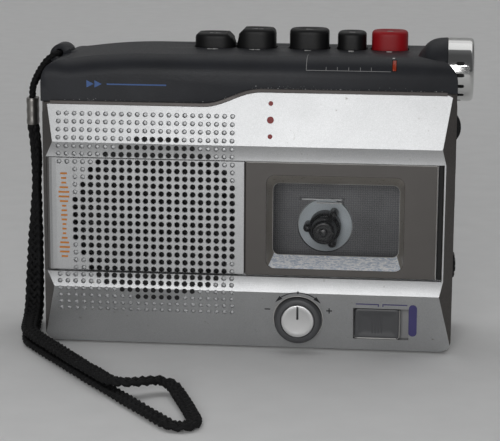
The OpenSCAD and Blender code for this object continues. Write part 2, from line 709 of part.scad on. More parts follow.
// Battery cells lie along X, one turned round
cell_z = [wall + cell_gap + cell_d / 2, wall + 4 * cell_gap + 1.5 * cell_d];
cell_x = [x_left + wall + 0.5 + seat_gap, box_right - 0.5 - seat_gap - cell_l];
module battery_cells() {
  for (k = [0, 1]) {
    nub = k == 0 ? cell_x[0] : cell_x[1] + cell_l - 1.2;
    color("goldenrod") union() {
      rod_x(cell_d / 2, cell_x[k] + (k == 0 ? 1.2 : 0), cell_x[k] + cell_l - (k == 0 ? 0 : 1.2), cell_y,
        cell_z[k]);
      rod_x(2.75, nub - (k == 0 ? 0 : eps), nub + 1.2 + (k == 0 ? eps : 0), cell_y, cell_z[k]);
    }
  }
}
module battery_contacts() {
  color("gainsboro") {
    for (k = [0, 1]) {
      block(x_left + wall + seat_gap, x_left + wall + 0.5, cell_y - 4, cell_y + 4, cell_z[k] - 5,
        cell_z[k] + 5);
      block(box_right - 0.5, box_right - seat_gap, cell_y - 4, cell_y + 4, cell_z[k] - 5, cell_z[k] + 5);
    }
  }
}
module battery_springs() {
  span = [[cell_x[0] + cell_l + seat_gap, box_right - 0.5 - seat_gap],
    [x_left + wall + 0.5 + seat_gap, cell_x[1] - seat_gap]];
  color("gainsboro") for (k = [0, 1]) difference() {
    rod_x(4, span[k][0], span[k][1], cell_y, cell_z[k]);
    rod_x(3, span[k][0] - 1, span[k][1] + 1, cell_y, cell_z[k]);
  }
}
// Top cover: key side, shoulder, microphone dome, strap lug
apron_y = y_front + cover_back;
corner_right = 6;
module cover_form(inset) {
  intersection() {
    slab_y(apron_y + inset, y_back - inset)
      rounded_top(x_left + inset, x_right - inset, lid_top - 8, body_h - inset, corner_r - inset,
        corner_right - inset);
    slab_x(x_left + inset, x_right - inset)
      rounded_top(apron_y + inset, y_back - inset, lid_top - 8, body_h - inset, shoulder_r - inset,
        shell_r - inset);
  }
}
led_x = x_mid + 37.9;
module led_bar(grow, y0, y1) {
  block(led_x - 0.5 - grow, led_x + 0.5 + grow, y0, y1, body_h - 2.9 - grow, body_h - 0.5 + grow);
}
module top_cover() {
  color([0.2, 0.2, 0.21]) difference() {
    union() {
      difference() {
        cover_form(0);
        cover_form(wall);
        // Room for the lid's upper edge in front, the rear shell behind
        slab_y(y_front - 1, rim_y) polygon(lid_outline(cover_lip, 0));
        block(x_left - 1, x_right + 1, rim_y - eps, y_back + 1, 0, split_z);
        block(x_left - 1, x_right + 1, y_front, rim_y, 0, lid_top - 4);
        block(x_left - 1, x_left + lid_corner + 2, y_front, rim_y, 0, lid_top + cover_lip);
        block(x_right - lid_corner - 2, x_right + 1, y_front, rim_y, 0, lid_top_right + cover_lip);
      }
      intersection() {
        translate([mic_x, mic_y, mic_z]) sphere(mic_r);
        block(mic_x - mic_r, mic_x, y_front, y_back, lid_top_right + 0.6, body_h + mic_r);
      }
      rod_y(lug_r, lug_x, lug_z, lug_y, lug_y + lug_l);
    }
    rod_x(mic_r + seat_gap, mic_x, x_right + mic_overhang, mic_y, mic_z);
    rod_x(4.9 + seat_gap, mic_x - 4, mic_x + 1, mic_y, mic_z);
    rod_y(eye_r, eye_x, eye_z, lug_y - 1, lug_y + lug_l + 1);
    for (k = [0:4])
      slab_z(cover_in - 1, body_h + 1) key_plan(k, fit_gap);
    led_bar(seat_gap, apron_y - 1, apron_y + 4.5);
    for (x = screw_x) {
      rod_y(1.1, x, split_z + 4, inner_back - 1, y_back + 1);
      rod_y(2 + seat_gap, x, split_z + 4, y_back - 1, y_back + 1);
    }
  }
}
module led_lens() {
  color("orangered") intersection() {
    led_bar(0, apron_y, apron_y + 4);
    cover_form(-0.15);
  }
}
module mic_cap() {
  color("gainsboro") difference() {
    translate([mic_x + seat_gap, mic_y, mic_z]) rotate([0, 90, 0]) rotate_extrude() polygon([
      [mic_r - 1, 0], [mic_r, 0], [mic_r, mic_cap_l - 1.3 - seat_gap],
      [mic_r - 1.3, mic_cap_l - seat_gap], [0, mic_cap_l - seat_gap],
      [0, mic_cap_l - 1 - seat_gap], [mic_r - 1, mic_cap_l - 2.2 - seat_gap]]);
    for (a = [-45:15:45])
      translate([0, mic_y, mic_z]) rotate([a - 10, 0, 0])
        block(mic_x + 1.6, mic_x + 4.2, -mic_r - 1, -mic_r + 2, -0.55, 0.55);
  }
}
module mic_capsule() {
  color("black") rod_x(4.9, mic_x - 4 + seat_gap, mic_x + mic_cap_l - 2.8, mic_y, mic_z);
}
// Deck frame: floor behind the cassette and the wall at its right end
deck_top = cassette_top - 16;
module deck_frame() {
  color([0.17, 0.18, 0.2]) difference() {
    intersection() {
      shell_form(wall + seat_gap);
      union() {
        block(x_left, bay_x[1] + 1.2, floor_y, floor_y + floor_t, 0, deck_top);
        block(bay_x[1], bay_x[1] + 1.2, rim_y + 1, floor_y - seat_gap, 0, deck_top);
      }
    }
    for (x = [supply_x, takeup_x]) rod_y(reel_d / 2 + fit_gap, x, hub_z, floor_y - 1,
      floor_y + floor_t + 1);
    at_ears() block(x_left, hinge_x + ear_t / 2 + seat_gap, rim_y - 1, rim_y + 3 + seat_gap, -seat_gap,
      ear_h + seat_gap);
  }
}
module chassis_plate() {
  color("lightsteelblue") difference() {
    block(supply_x - 9, x_right - wall - 11, chassis_y, chassis_back, hub_z - 12, plate_high);
    for (x = [supply_x, takeup_x]) rod_y(reel_shaft + run_gap, x, hub_z, chassis_y - 1, chassis_back + 1);
    rod_y(capstan_r + fit_gap, capstan_x, capstan_z, chassis_y - 1, chassis_back + 1);
    // Slot for the tab from the play key to the head plate
    block(play_x - 1.5 - fit_gap, play_x + 1.5 + fit_gap, chassis_y - 1, chassis_back + 1,
      plate_low + 0.5 - key_travel - fit_gap, plate_low + 2.5 + fit_gap);
    // Window for the idler post's seat and the motor's nose
    rod_y(3 + seat_gap, motor_x, motor_z, chassis_y - 1, chassis_back + 1);
  }
}
play_x = x_mid + KEY_X[2] + STEM_DX[2];
// Post pressed into the chassis plate for the idler
post_r = 1;
reel_shaft = 1.5;
spindle_tip = cassette_y - cassette_t / 2 - 0.7;
module idler_post() {
  color("lightgray") rod_y(post_r, idler_x, idler_z, chassis_back, drive_y + drive_t + 0.5);
}
// One reel: a disc in the deck floor and a spindle with three round-tipped fins
module spindle(x) {
  root = floor_y - 0.2;
  fin_t = 1.3;
  union() {
    rod_y(spindle_r - 1.6, x, hub_z, spindle_tip + 1.2, root);
    cone_y(1.4, spindle_r - 1.6, x, hub_z, spindle_tip, spindle_tip + 1.2);
    for (a = [90, 210, 330])
      translate([x, 0, hub_z]) rotate([0, -a, 0]) slab_z(-fin_t / 2, fin_t / 2)
        polygon(concat([[0, root], [spindle_r, root], [spindle_r, root - 2]],
          arc(spindle_r - 2.4, spindle_tip + 2.6, 1.4, 0, -90, 5), [[0, spindle_tip + 1.2]]));
  }
}
module reel_disc(x, back) {
  rod_y(reel_d / 2, x, hub_z, floor_y + 0.1, floor_y + floor_t - 0.1);
  rod_y(spindle_r + 0.4, x, hub_z, floor_y - 0.2 + seat_gap, floor_y + floor_t - 0.1);
  rod_y(reel_shaft, x, hub_z, floor_y + floor_t - 0.2, back);
}
module takeup_disc() {
  color("lightsteelblue") union() {
    reel_disc(takeup_x, drive_y + eps);
    rod_y(reel_d / 2, takeup_x, hub_z, drive_y, drive_y + drive_t);
  }
}
module supply_disc() {
  color("lightsteelblue") reel_disc(supply_x, chassis_back);
}
module takeup_spindle() {
  color([0.08, 0.08, 0.09]) spindle(takeup_x);
}
module supply_spindle() {
  color([0.08, 0.08, 0.09]) spindle(supply_x);
}
module idler_wheel() {
  color("black") difference() {
    rod_y(idler_r, idler_x, idler_z, drive_y, drive_y + drive_t);
    rod_y(post_r + run_gap, idler_x, idler_z, drive_y - 1, drive_y + drive_t + 1);
  }
}
// Capstan: thin shaft with a drive hub, turning in a bush; flywheel behind
module capstan_shaft() {
  color("gainsboro") union() {
    rod_y(capstan_r, capstan_x, capstan_z, cassette_y - cassette_t / 2 - 0.4, belt_y + 3);
    rod_y(drive_hub_r, capstan_x, capstan_z, drive_y, drive_y + drive_t);
  }
}
bush_y = drive_y + drive_t + fit_gap;
bush_back = belt_y - fit_gap;
module capstan_bush() {
  color("peru") difference() {
    rod_y(2.2, capstan_x, capstan_z, bush_y, bush_back);
    rod_y(capstan_r + run_gap, capstan_x, capstan_z, bush_y - 1, bush_back + 1);
  }
}
module flywheel() {
  color("darkgray") difference() {
    rod_y(flywheel_r, capstan_x, capstan_z, belt_y, belt_y + 3);
    rod_y(capstan_r + 0.02, capstan_x, capstan_z, belt_y - 1, belt_y + 4);
    groove(flywheel_r, capstan_x, capstan_z);
  }
}
// Belt groove in the rim of a wheel
belt_mid = belt_y + 1.5;
module groove(r, x, z) {
  difference() {
    rod_y(r + 1, x, z, belt_mid - belt_t / 2 - run_gap * 2, belt_mid + belt_t / 2 + run_gap * 2);
    rod_y(r - belt_r, x, z, belt_mid - belt_t, belt_mid + belt_t);
  }
}
// A loop round two wheels; grow widens it
module belt_loop(grow) {
  ra = flywheel_r - belt_r + run_gap + grow;
  rb = pulley_r - belt_r + run_gap + grow;
  dx = motor_x - capstan_x;
  dz = motor_z - capstan_z;
  aim = atan2(dz, dx);
  lean = acos((ra - rb) / norm([dx, dz]));
  polygon(concat(arc(capstan_x, capstan_z, ra, aim + lean, aim + 360 - lean, 28),
    arc(motor_x, motor_z, rb, aim - lean, aim + lean, 16)));
}
module drive_belt() {
  color([0.1, 0.1, 0.1]) slab_y(belt_mid - belt_t / 2, belt_mid + belt_t / 2) difference() {
    belt_loop(belt_r);
    belt_loop(0);
  }
}
module motor() {
  color("lightgray") union() {
    rod_y(motor_r, motor_x, motor_z, motor_y, motor_y + motor_l);
    rod_y(3, motor_x, motor_z, chassis_y, motor_y + 1);
    rod_y(0.75, motor_x, motor_z, motor_y + motor_l - 1, belt_y + 3);
  }
}
module motor_pulley() {
  color("goldenrod") difference() {
    rod_y(pulley_r, motor_x, motor_z, belt_y, belt_y + 3);
    rod_y(0.75 + run_gap, motor_x, motor_z, belt_y - 1, belt_y + 4);
    groove(pulley_r, motor_x, motor_z);
  }
}
// Head plate with both heads and the roller's axle
module head_plate() {
  color("lightgray") union() {
    block(cassette_x - 20, capstan_x + 7, plate_y, plate_y + 1.2, plate_low, plate_high - 1);
    block(play_x - 1.5, play_x + 1.5, plate_y, chassis_back + 0.8, plate_low + 0.5, plate_low + 2.5);
    rod_y(post_r, capstan_x, roller_rest, cassette_y - 3.6, plate_y + 0.5);
  }
}
module play_head() {
  color("gainsboro") union() {
    block(cassette_x - 5, cassette_x + 5, cassette_y - 4.2, plate_y, cassette_top + 2.2, plate_high - 2);
    intersection() {
      rod_y(6.5, cassette_x, cassette_top + 0.6 + 6.5, cassette_y - 3.6, plate_y);
      block(cassette_x - 4, cassette_x + 4, cassette_y - 4, plate_y, cassette_top, cassette_top + 3);
    }
  }
}
module erase_head() {
  color("black") block(cassette_x - 17, cassette_x - 11, cassette_y - 3.4, plate_y, cassette_top + 0.6,
    plate_high - 3);
}
module pinch_roller() {
  color("black") difference() {
    rod_y(roller_r, capstan_x, roller_rest, cassette_y - 3.4, plate_y - fit_gap);
    rod_y(post_r + run_gap, capstan_x, roller_rest, cassette_y - 4, plate_y);
  }
}
// Keys: cap with a stop flange under the cover and a flat stem in the guide
module key(k) {
  w = KEY_W[k];
  top = body_h + KEY_RISE[k];
  mid = x_mid + KEY_X[k];
  stem_x = mid + STEM_DX[k];
  back = key_y + key_depth;
  union() {
    intersection() {
      slab_x(mid - w / 2, mid + w / 2) polygon([
        [key_y, key_low], [key_y, top - 1.3], [key_y + 1, top - 0.3], [key_y + 3, top],
        [back - 1, top], [back, top - 1], [back, key_low]]);
      slab_y(key_y, back) polygon([
        [mid - w / 2, key_low], [mid - w / 2, top - KEY_SLANT[k][0]], [mid - w / 2 + KEY_SLANT[k][0], top],
        [mid + w / 2 - KEY_SLANT[k][1], top], [mid + w / 2, top - KEY_SLANT[k][1]], [mid + w / 2,
        key_low]]);
      slab_z(key_low, top) key_plan(k, 0);
    }
    block(mid - w / 2 + fit_gap, mid + w / 2 - fit_gap, key_y - flange_w, guide_back, key_low - flange_h,
      key_low + eps);
    block(stem_x - stem_w / 2, stem_x + stem_w / 2, stem_y, stem_y + stem_t, guide_top - guide_h - 0.4,
      key_low - flange_h + eps);
  }
}
module fast_forward_key() {
  color([0.1, 0.1, 0.1]) key(0);
}
module rewind_key() {
  color([0.1, 0.1, 0.1]) key(1);
}
module play_key() {
  color([0.1, 0.1, 0.1]) union() {
    key(2);
    block(play_x - 1.4, play_x + 1.4, chassis_back + fit_gap + 0.1, stem_y + eps, plate_low + 2.5 + fit_gap,
      plate_low + 4.2);
  }
}
module stop_key() {
  color([0.1, 0.1, 0.1]) key(3);
}
module record_key() {
  color("firebrick") key(4);
}
module key_guide() {
  color([0.25, 0.25, 0.25]) difference() {
    union() {
      block(x_mid + KEY_X[0] - 6, x_mid + KEY_X[4] + 6, chassis_back, guide_back, guide_top - guide_h,
        guide_top);
      block(capstan_x - 4, capstan_x + 4, bush_y + 0.6, guide_back, capstan_z - 4, guide_top - eps);
    }
    for (k = [0:4])
      block(x_mid + KEY_X[k] + STEM_DX[k] - stem_w / 2 - fit_gap,
        x_mid + KEY_X[k] + STEM_DX[k] + stem_w / 2 + fit_gap, stem_y - fit_gap, stem_y + stem_t + fit_gap,
        capstan_z - 5, guide_top + 1);
    rod_y(2.2 + seat_gap / 2, capstan_x, capstan_z, bush_y - 1, guide_back + 1);
    // Room for the idler and for the play key's tab
    rod_y(idler_r + fit_gap, idler_x, idler_z, chassis_back - 1, drive_y + drive_t + 1);
    rod_y(drive_hub_r + fit_gap, capstan_x, capstan_z, chassis_back - 1, drive_y + drive_t + fit_gap);
    block(play_x - 1.5 - fit_gap, play_x + 1.5 + fit_gap, chassis_back - 1, stem_y, guide_top - 2,
      guide_top + 1);
  }
}
module key_springs() {
  color("gainsboro") for (k = [0:4])
    translate([x_mid + KEY_X[k], spring_y, guide_top + seat_gap]) difference() {
      cylinder(r = spring_r, h = key_low - flange_h - guide_top - 2 * seat_gap);
      translate([0, 0, -1]) cylinder(r = spring_r - 0.4, h = key_room);
    }
}
// Circuit board at the back, with what is soldered to it
board_t = 1.2;
module main_board() {
  color("darkgreen") difference() {
    block(board_x, x_right - wall - 1, board_y, board_y + board_t, wall + 3, split_z - 4);
    for (z = [wall + 7, split_z - 9]) rod_y(1.6, board_x + 4, z, board_y - 1, board_y + 2);
  }
}
module board_parts() {
  seat = board_y - seat_gap;
  color([0.1, 0.1, 0.1]) {
    block(board_x + 12, board_x + 22, seat - 1.5, seat, hub_z - 20, hub_z - 13);
    block(board_x + 26, board_x + 33, seat - 1.5, seat, hub_z - 4, hub_z + 1);
    for (i = [0:3]) rod_y(2, board_x + 11 + 5.2 * i, hub_z - 6, seat - 3.5, seat);
    for (i = [0:4]) block(board_x + 8 + 3 * i, board_x + 9.2 + 3 * i, seat - 0.6, seat, hub_z + 2,
      hub_z + 4);
  }
}
// Two sockets on a plate that closes a notch in the right end of the rear shell
module jack_sockets() {
  color([0.08, 0.08, 0.08]) difference() {
    union() {
      block(x_right - wall, x_right, plate_end[0] + seat_gap, plate_end[1] - seat_gap,
        plate_foot + seat_gap,
        split_z - seat_gap);
      for (z = jack_z) {
        block(x_right - wall - 12, x_right - wall + eps, jack_y - 3.6, board_y - seat_gap, z - 3.6,
          z + 3.6);
        rod_x(3.2, x_right - 1, x_right + 0.3, jack_y, z);
      }
    }
    for (z = jack_z) rod_x(jack_r, x_right - wall - 10, x_right + 1, jack_y, z);
    block(x_right - wall - 1, x_right + 1, end_y + 1 - fit_gap, end_y + 4 + fit_gap,
      voice_z - voice_l / 2 - voice_travel / 2 - fit_gap,
      voice_z + voice_l / 2 + voice_travel / 2 + fit_gap);
  }
}
module volume_wheel() {
  color([0.12, 0.12, 0.12]) difference() {
    rod_y(volume_r, volume_x, volume_z, end_y, end_y + volume_t);
    rod_y(1.5 + run_gap, volume_x, volume_z, end_y - 1, end_y + volume_t + 1);
    for (a = [0:10:350])
      translate([volume_x, 0, volume_z]) rotate([0, a, 0])
        rod_y(0.4, volume_r + 0.1, 0, end_y - 1, end_y + volume_t + 1);
  }
}
module volume_pot() {
  color("gray") union() {
    rod_y(6, volume_x, volume_z, end_y + volume_t + fit_gap, board_y - seat_gap);
    rod_y(1.5, volume_x, volume_z, end_y + 0.2, end_y + volume_t + 1);
  }
}
// Voice switch: a smooth hump that slides in the right end
module voice_slider() {
  hump = (voice_l * voice_l / 4 + voice_reach * voice_reach) / (2 * voice_reach);
  color([0.1, 0.1, 0.1]) union() {
    block(x_right - wall - 1.5, x_right - eps, end_y + 1, end_y + 4, voice_z - voice_l / 2,
      voice_z + voice_l / 2);
    intersection() {
      rod_y(hump, x_right + voice_reach - hump, voice_z, end_y + 1, end_y + 4);
      block(x_right - 0.1, x_right + voice_reach + 1, end_y + 1, end_y + 4, voice_z - voice_l / 2,
        voice_z + voice_l / 2);
    }
  }
}
module voice_switch() {
  color("dimgray")
    block(x_right - wall - 6, x_right - wall - 1.5 - fit_gap, end_y, board_y - seat_gap,
      voice_z - voice_l / 2 - 2.4, min(voice_z + voice_l / 2 + 2.4, split_z - 2));
}
module hinge_pins() {
  color("gainsboro") {
    rod_z(pin_r - 0.01, hinge_x, hinge_y, lid_lift + 0.7, ear_low + ear_h + fit_gap + web_h);
    rod_z(pin_r - 0.01, hinge_x, hinge_y, ear_high - fit_gap - web_h, lid_top - 0.7);
  }
}
// Screws that hold the cover to the rear shell, sunk in the back
module case_screws() {
  color("dimgray") for (x = screw_x) difference() {
    union() {
      rod_y(2, x, split_z + 4, y_back - 0.95, y_back - 0.15);
      rod_y(1, x, split_z + 4, boss_y, y_back - 0.9);
    }
    block(x - 1.4, x + 1.4, y_back - 0.5, y_back + 1, split_z + 3.7, split_z + 4.3);
    block(x - 0.3, x + 0.3, y_back - 0.5, y_back + 1, split_z + 2.6, split_z + 5.4);
  }
}
// Swept tube: an eight-sided ellipse carried along a route, wide side level
SIDES = 8;
function unit(v) = v / norm(v);
function ahead(p, i) = unit(p[min(i + 1, len(p) - 1)] - p[max(i - 1, 0)]);
function level(t, way) = unit(cross(t + [0, 0.2 * way, 0], [0, 0, 1]));
function ring(p, i, w, h) = let (
    t = ahead(p, i), a = level(t, i < len(p) / 2 ? -1 : 1), b = unit(cross(t, a)))
  [for (s = [0:SIDES - 1]) p[i] + a * (w / 2 * cos(360 * s / SIDES)) + b * (h / 2 * sin(360 * s / SIDES))];
module tube(route, w, h) {
  n = len(route);
  points = [for (i = [0:n - 1]) each ring(route, i, w, h)];
  sides = [for (i = [0:n - 2], s = [0:SIDES - 1]) let (
      a = i * SIDES + s, b = i * SIDES + (s + 1) % SIDES)
    each [[a, b, b + SIDES], [a, b + SIDES, a + SIDES]]];
  polyhedron(points, concat(sides, [[for (s = [SIDES - 1:-1:0]) s],
    [for (s = [0:SIDES - 1]) (n - 1) * SIDES + s]]));
}
module strap_loop() {
  color([0.09, 0.09, 0.1]) translate([x_left, 0, 0]) tube(LOOP_ROUTE, strap_w, strap_t);
}
module strap_cord() {
  color([0.09, 0.09, 0.1]) translate([x_left, 0, eye_z]) tube(CORD_ROUTE, cord_d, cord_d);
}
module strap_ferrule() {
  color("slategray") slab_z(ferrule_low, ferrule_high) translate(ferrule) union() {
    for (s = [-1, 1]) translate([0, s * 1.2]) circle(1.5);
    square([3, 2.4], center = true);
  }
}

rear_shell();
battery_box();
top_cover();
deck_frame();
chassis_plate();
key_guide();
capstan_bush();
idler_post();
motor();
drive_belt();
main_board();
board_parts();
jack_sockets();
volume_pot();
voice_switch();
mic_cap();
mic_capsule();
led_lens();
battery_cells();
battery_contacts();
battery_springs();
hinge_pins();
case_screws();
key_springs();
strap_cord();
strap_ferrule();
strap_loop();
lid_shell();
grille_panel();
window_panel();
window_pane();
speaker_frame();
speaker_cone();
speaker_magnet();
speed_pot();
mode_switch();
lid_catch();
speed_knob();
knob_cap();
mode_slider();
fast_forward_key();
rewind_key();
play_key();
stop_key();
record_key();
head_plate();
play_head();
erase_head();
pinch_roller();
capstan_shaft();
flywheel();
motor_pulley();
idler_wheel();
takeup_disc();
takeup_spindle();
supply_disc();
supply_spindle();
volume_wheel();
voice_slider();
battery_cover();
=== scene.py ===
# %% [markdown]
# # A hand-held cassette recorder
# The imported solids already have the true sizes, so this lesson dresses them: soft edges,
# a dimpled grille, a moulded window, printed marks, a braided strap and a finish for every
# surface. All lengths below are written in millimetres and turned into metres once.

import math

import bmesh
import bpy
from mathutils import Matrix, Vector


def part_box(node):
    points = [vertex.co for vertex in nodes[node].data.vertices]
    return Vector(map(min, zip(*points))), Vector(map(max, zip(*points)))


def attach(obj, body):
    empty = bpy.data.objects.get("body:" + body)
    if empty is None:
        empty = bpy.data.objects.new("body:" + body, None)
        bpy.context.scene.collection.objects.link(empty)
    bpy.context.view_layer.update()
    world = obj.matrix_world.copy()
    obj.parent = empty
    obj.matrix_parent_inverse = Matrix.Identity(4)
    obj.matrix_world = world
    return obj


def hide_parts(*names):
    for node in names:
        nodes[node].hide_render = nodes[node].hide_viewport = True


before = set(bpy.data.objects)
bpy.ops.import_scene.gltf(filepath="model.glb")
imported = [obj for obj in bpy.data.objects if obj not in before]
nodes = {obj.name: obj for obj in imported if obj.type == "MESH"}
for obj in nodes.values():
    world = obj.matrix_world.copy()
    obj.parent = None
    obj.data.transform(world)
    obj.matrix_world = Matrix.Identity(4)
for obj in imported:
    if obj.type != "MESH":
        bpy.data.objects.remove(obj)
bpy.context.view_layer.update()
MM = 0.001


def metres(*point):
    return Vector(point) * MM


def box_mm(node):
    low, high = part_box(node)
    return [c / MM for c in low], [c / MM for c in high]


# %% [markdown]
# ## Camera
# The photograph looks down a little, from slightly right of the middle, through a long lens.
# Its place comes from a fit of the lid's corners, so the camera is set by a look-at point, two
# angles, a roll and a distance. A long lens keeps the upright edges nearly parallel.

# %% Camera at the photograph's angle
LOOK_AT = (-0.81, -18.0, 35.43)
TURN, RISE, ROLL = (math.radians(a) for a in (5.727, 12.115, 0.329))
DISTANCE = 483.3
FOCAL_PIXELS = 1850
IMAGE_WIDTH, SENSOR_WIDTH = 500, 36.0

back = Vector((math.sin(TURN) * math.cos(RISE), -math.cos(TURN) * math.cos(RISE), math.sin(RISE)))
level = Vector((math.cos(TURN), math.sin(TURN), 0))
upright = level.cross(-back)
right = level * math.cos(ROLL) + upright * math.sin(ROLL)
above = upright * math.cos(ROLL) - level * math.sin(ROLL)
lens = bpy.data.cameras.new("photo_camera")
lens.lens, lens.sensor_width = FOCAL_PIXELS / IMAGE_WIDTH * SENSOR_WIDTH, SENSOR_WIDTH
lens.clip_start, lens.clip_end = 0.01, 20
camera = bpy.data.objects.new("photo_camera", lens)
camera_at = metres(*LOOK_AT) + back * DISTANCE * MM
camera.matrix_world = Matrix.Translation(camera_at) @ Matrix((right, above, back)).transposed().to_4x4()
bpy.context.scene.collection.objects.link(camera)
bpy.context.scene.camera = camera
print("camera at", [round(c / MM) for c in camera_at], "mm, lens", round(lens.lens, 1), "mm")

# %% [markdown]
# ## Finishes
# Every surface gets a node material. Most share one recipe: a base colour that drifts a little
# with a slow noise, a roughness that varies with a finer noise, and a small bump for the grain.
# A shader's fixed numbers sit on its own sockets. Object coordinates keep the grain's real size.

# %% A finish with drift, grain and bump
def finish(name, colour, roughness, metallic=0.0, grain=0.35, bump=0.1, drift=0.12, spread=0.08, shine=0.5):
    """grain is the size of the surface grain in mm; drift and spread vary colour and roughness."""
    material = bpy.data.materials.new(name)
    material.use_nodes = True
    tree = material.node_tree
    shader = tree.nodes["Principled BSDF"]
    shader.inputs["Metallic"].default_value = metallic
    shader.inputs["Specular IOR Level"].default_value = shine
    place = tree.nodes.new("ShaderNodeTexCoord")
    slow, fine = (tree.nodes.new("ShaderNodeTexNoise") for _ in range(2))
    slow.inputs["Scale"].default_value = 90
    slow.inputs["Detail"].default_value = 4
    fine.inputs["Scale"].default_value = 1 / (grain * MM)
    fine.inputs["Detail"].default_value = 2
    for noise in (slow, fine):
        tree.links.new(place.outputs["Object"], noise.inputs["Vector"])
    tint = tree.nodes.new("ShaderNodeValToRGB")
    tint.color_ramp.elements[0].position, tint.color_ramp.elements[1].position = 0.3, 0.7
    for stop, share in zip(tint.color_ramp.elements, (1 - drift, 1 + drift)):
        stop.color = [min(c * share, 1) for c in colour] + [1]
    tree.links.new(slow.outputs["Fac"], tint.inputs["Fac"])
    tree.links.new(tint.outputs["Color"], shader.inputs["Base Color"])
    rough = tree.nodes.new("ShaderNodeMapRange")
    rough.inputs["To Min"].default_value = max(roughness - spread, 0.02)
    rough.inputs["To Max"].default_value = min(roughness + spread, 1)
    tree.links.new(fine.outputs["Fac"], rough.inputs["Value"])
    tree.links.new(rough.outputs["Result"], shader.inputs["Roughness"])
    if bump:
        relief = tree.nodes.new("ShaderNodeBump")
        relief.inputs["Strength"].default_value = bump
        relief.inputs["Distance"].default_value = 0.05 * MM
        tree.links.new(fine.outputs["Fac"], relief.inputs["Height"])
        tree.links.new(relief.outputs["Normal"], shader.inputs["Normal"])
    return material


dimple_silver = finish("dimple_silver", (0.48, 0.485, 0.49), 0.36, metallic=0.85, grain=0.3, bump=0.03, drift=0.05)
# Painted shade: near-black for the insides of holes, slots and recesses, where the light does not reach.
painted_hole_shade = finish("painted_hole_shade", (0.006, 0.006, 0.006), 0.7, bump=0)
# Painted shade: the brown-grey that the silver edges and ends show where they turn away from the lamp.
brown_painted_shade = finish("brown_painted_shade", (0.075, 0.066, 0.062), 0.45, metallic=0.4, bump=0.05)
charcoal = finish("charcoal", (0.019, 0.0203, 0.0245), 0.5, grain=0.42, bump=0.45, drift=0.2, spread=0.12, shine=0.3)
shell_black = finish("shell_black", (0.0145, 0.015, 0.0165), 0.5, grain=0.42, bump=0.45, drift=0.2, spread=0.12)
key_black = finish("key_black", (0.006, 0.006, 0.0065), 0.5, grain=0.5, bump=0.08, shine=0.3)
key_red = finish("key_red", (0.34, 0.007, 0.012), 0.48, grain=0.5, bump=0.08, shine=0.25)
chrome = finish("chrome", (0.68, 0.68, 0.67), 0.10, metallic=1.0, grain=0.4, bump=0.01, drift=0.03, spread=0.05)
smoke_panel = finish("smoke_panel", (0.100, 0.092, 0.086), 0.24, metallic=0.2, grain=0.6, bump=0,
                     drift=0.05, spread=0.04)
knob_grey = finish("knob_grey", (0.055, 0.056, 0.060), 0.42, grain=0.3, bump=0.12)
spun_silver = finish("spun_silver", (0.60, 0.60, 0.60), 0.33, metallic=0.9, grain=0.25, bump=0.04, drift=0.04)
amber = finish("amber", (0.36, 0.036, 0.010), 0.3, bump=0.02)
braid_black = finish("braid_black", (0.006, 0.006, 0.0065), 0.72, grain=0.16, bump=0.9,
                     drift=0.35, spread=0.15, shine=0.25)
ferrule_grey = finish("ferrule_grey", (0.27, 0.26, 0.245), 0.42, metallic=0.9, grain=0.3, bump=0.06, drift=0.2)
switch_grey = finish("switch_grey", (0.28, 0.28, 0.285), 0.5, bump=0.1)
# Painted light: a lighter copy of the smoked plastic for the frame's upper and side slopes.
painted_light_slope = finish("painted_light_slope", (0.21, 0.195, 0.175), 0.3, grain=0.6, bump=0, drift=0.1)
# Painted highlight: a pale finish for edges and rims that catch the lamp, not a colour of their own.
painted_edge_highlight = finish("painted_edge_highlight", (0.55, 0.54, 0.52), 0.3, grain=0.5, bump=0, drift=0.3)
print_orange = finish("print_orange", (0.55, 0.19, 0.02), 0.55, bump=0)
print_red = finish("print_red", (0.26, 0.03, 0.03), 0.55, bump=0)
print_blue = finish("print_blue", (0.045, 0.11, 0.30), 0.55, bump=0)
deck_slate = finish("deck_slate", (0.030, 0.033, 0.040), 0.5, grain=0.4, bump=0.12)
reel_grey = finish("reel_grey", (0.60, 0.66, 0.70), 0.45, grain=0.4, bump=0.05)
spindle_black = finish("spindle_black", (0.010, 0.010, 0.011), 0.3, grain=0.5, bump=0.05)
plain_steel = finish("plain_steel", (0.45, 0.455, 0.46), 0.32, metallic=1.0, grain=0.3, bump=0.05)
bronze = finish("bronze", (0.38, 0.24, 0.10), 0.35, metallic=1.0, bump=0.05)
black_rubber = finish("black_rubber", (0.012, 0.012, 0.012), 0.65, bump=0.2)
cone_paper = finish("cone_paper", (0.014, 0.014, 0.014), 0.85, grain=0.4, bump=0.5)
ferrite = finish("ferrite", (0.05, 0.05, 0.05), 0.6, grain=0.4, bump=0.2)
cell_sleeve = finish("cell_sleeve", (0.30, 0.19, 0.04), 0.3, metallic=0.6, bump=0.02)
board_green = finish("board_green", (0.02, 0.09, 0.035), 0.4, bump=0.05)
chip_black = finish("chip_black", (0.015, 0.015, 0.015), 0.5, bump=0.1)
print_ink = finish("print_ink", (0.02, 0.02, 0.024), 0.55, bump=0)
print_violet = finish("print_violet", (0.055, 0.048, 0.16), 0.55, bump=0)
print_grey = finish("print_grey", (0.26, 0.26, 0.26), 0.5, bump=0)
print_white = finish("print_white", (0.62, 0.62, 0.60), 0.55, bump=0)
print("finishes:", len(bpy.data.materials))


# %% Silver paint with flakes, stains and painted shade on its sideways ends
def link_noise(tree, place, size, detail):
    """A noise whose features are about size mm across."""
    noise = tree.nodes.new("ShaderNodeTexNoise")
    noise.inputs["Scale"].default_value = 1 / (size * MM)
    noise.inputs["Detail"].default_value = detail
    tree.links.new(place.outputs["Object"], noise.inputs["Vector"])
    return noise.outputs["Fac"]


def ramp(tree, source, stops):
    """A colour ramp; stops are (position, colour)."""
    node = tree.nodes.new("ShaderNodeValToRGB")
    for stop, (position, colour) in zip(node.color_ramp.elements, stops):
        stop.position, stop.color = position, (*colour, 1)
    tree.links.new(source, node.inputs["Fac"])
    return node.outputs["Color"]


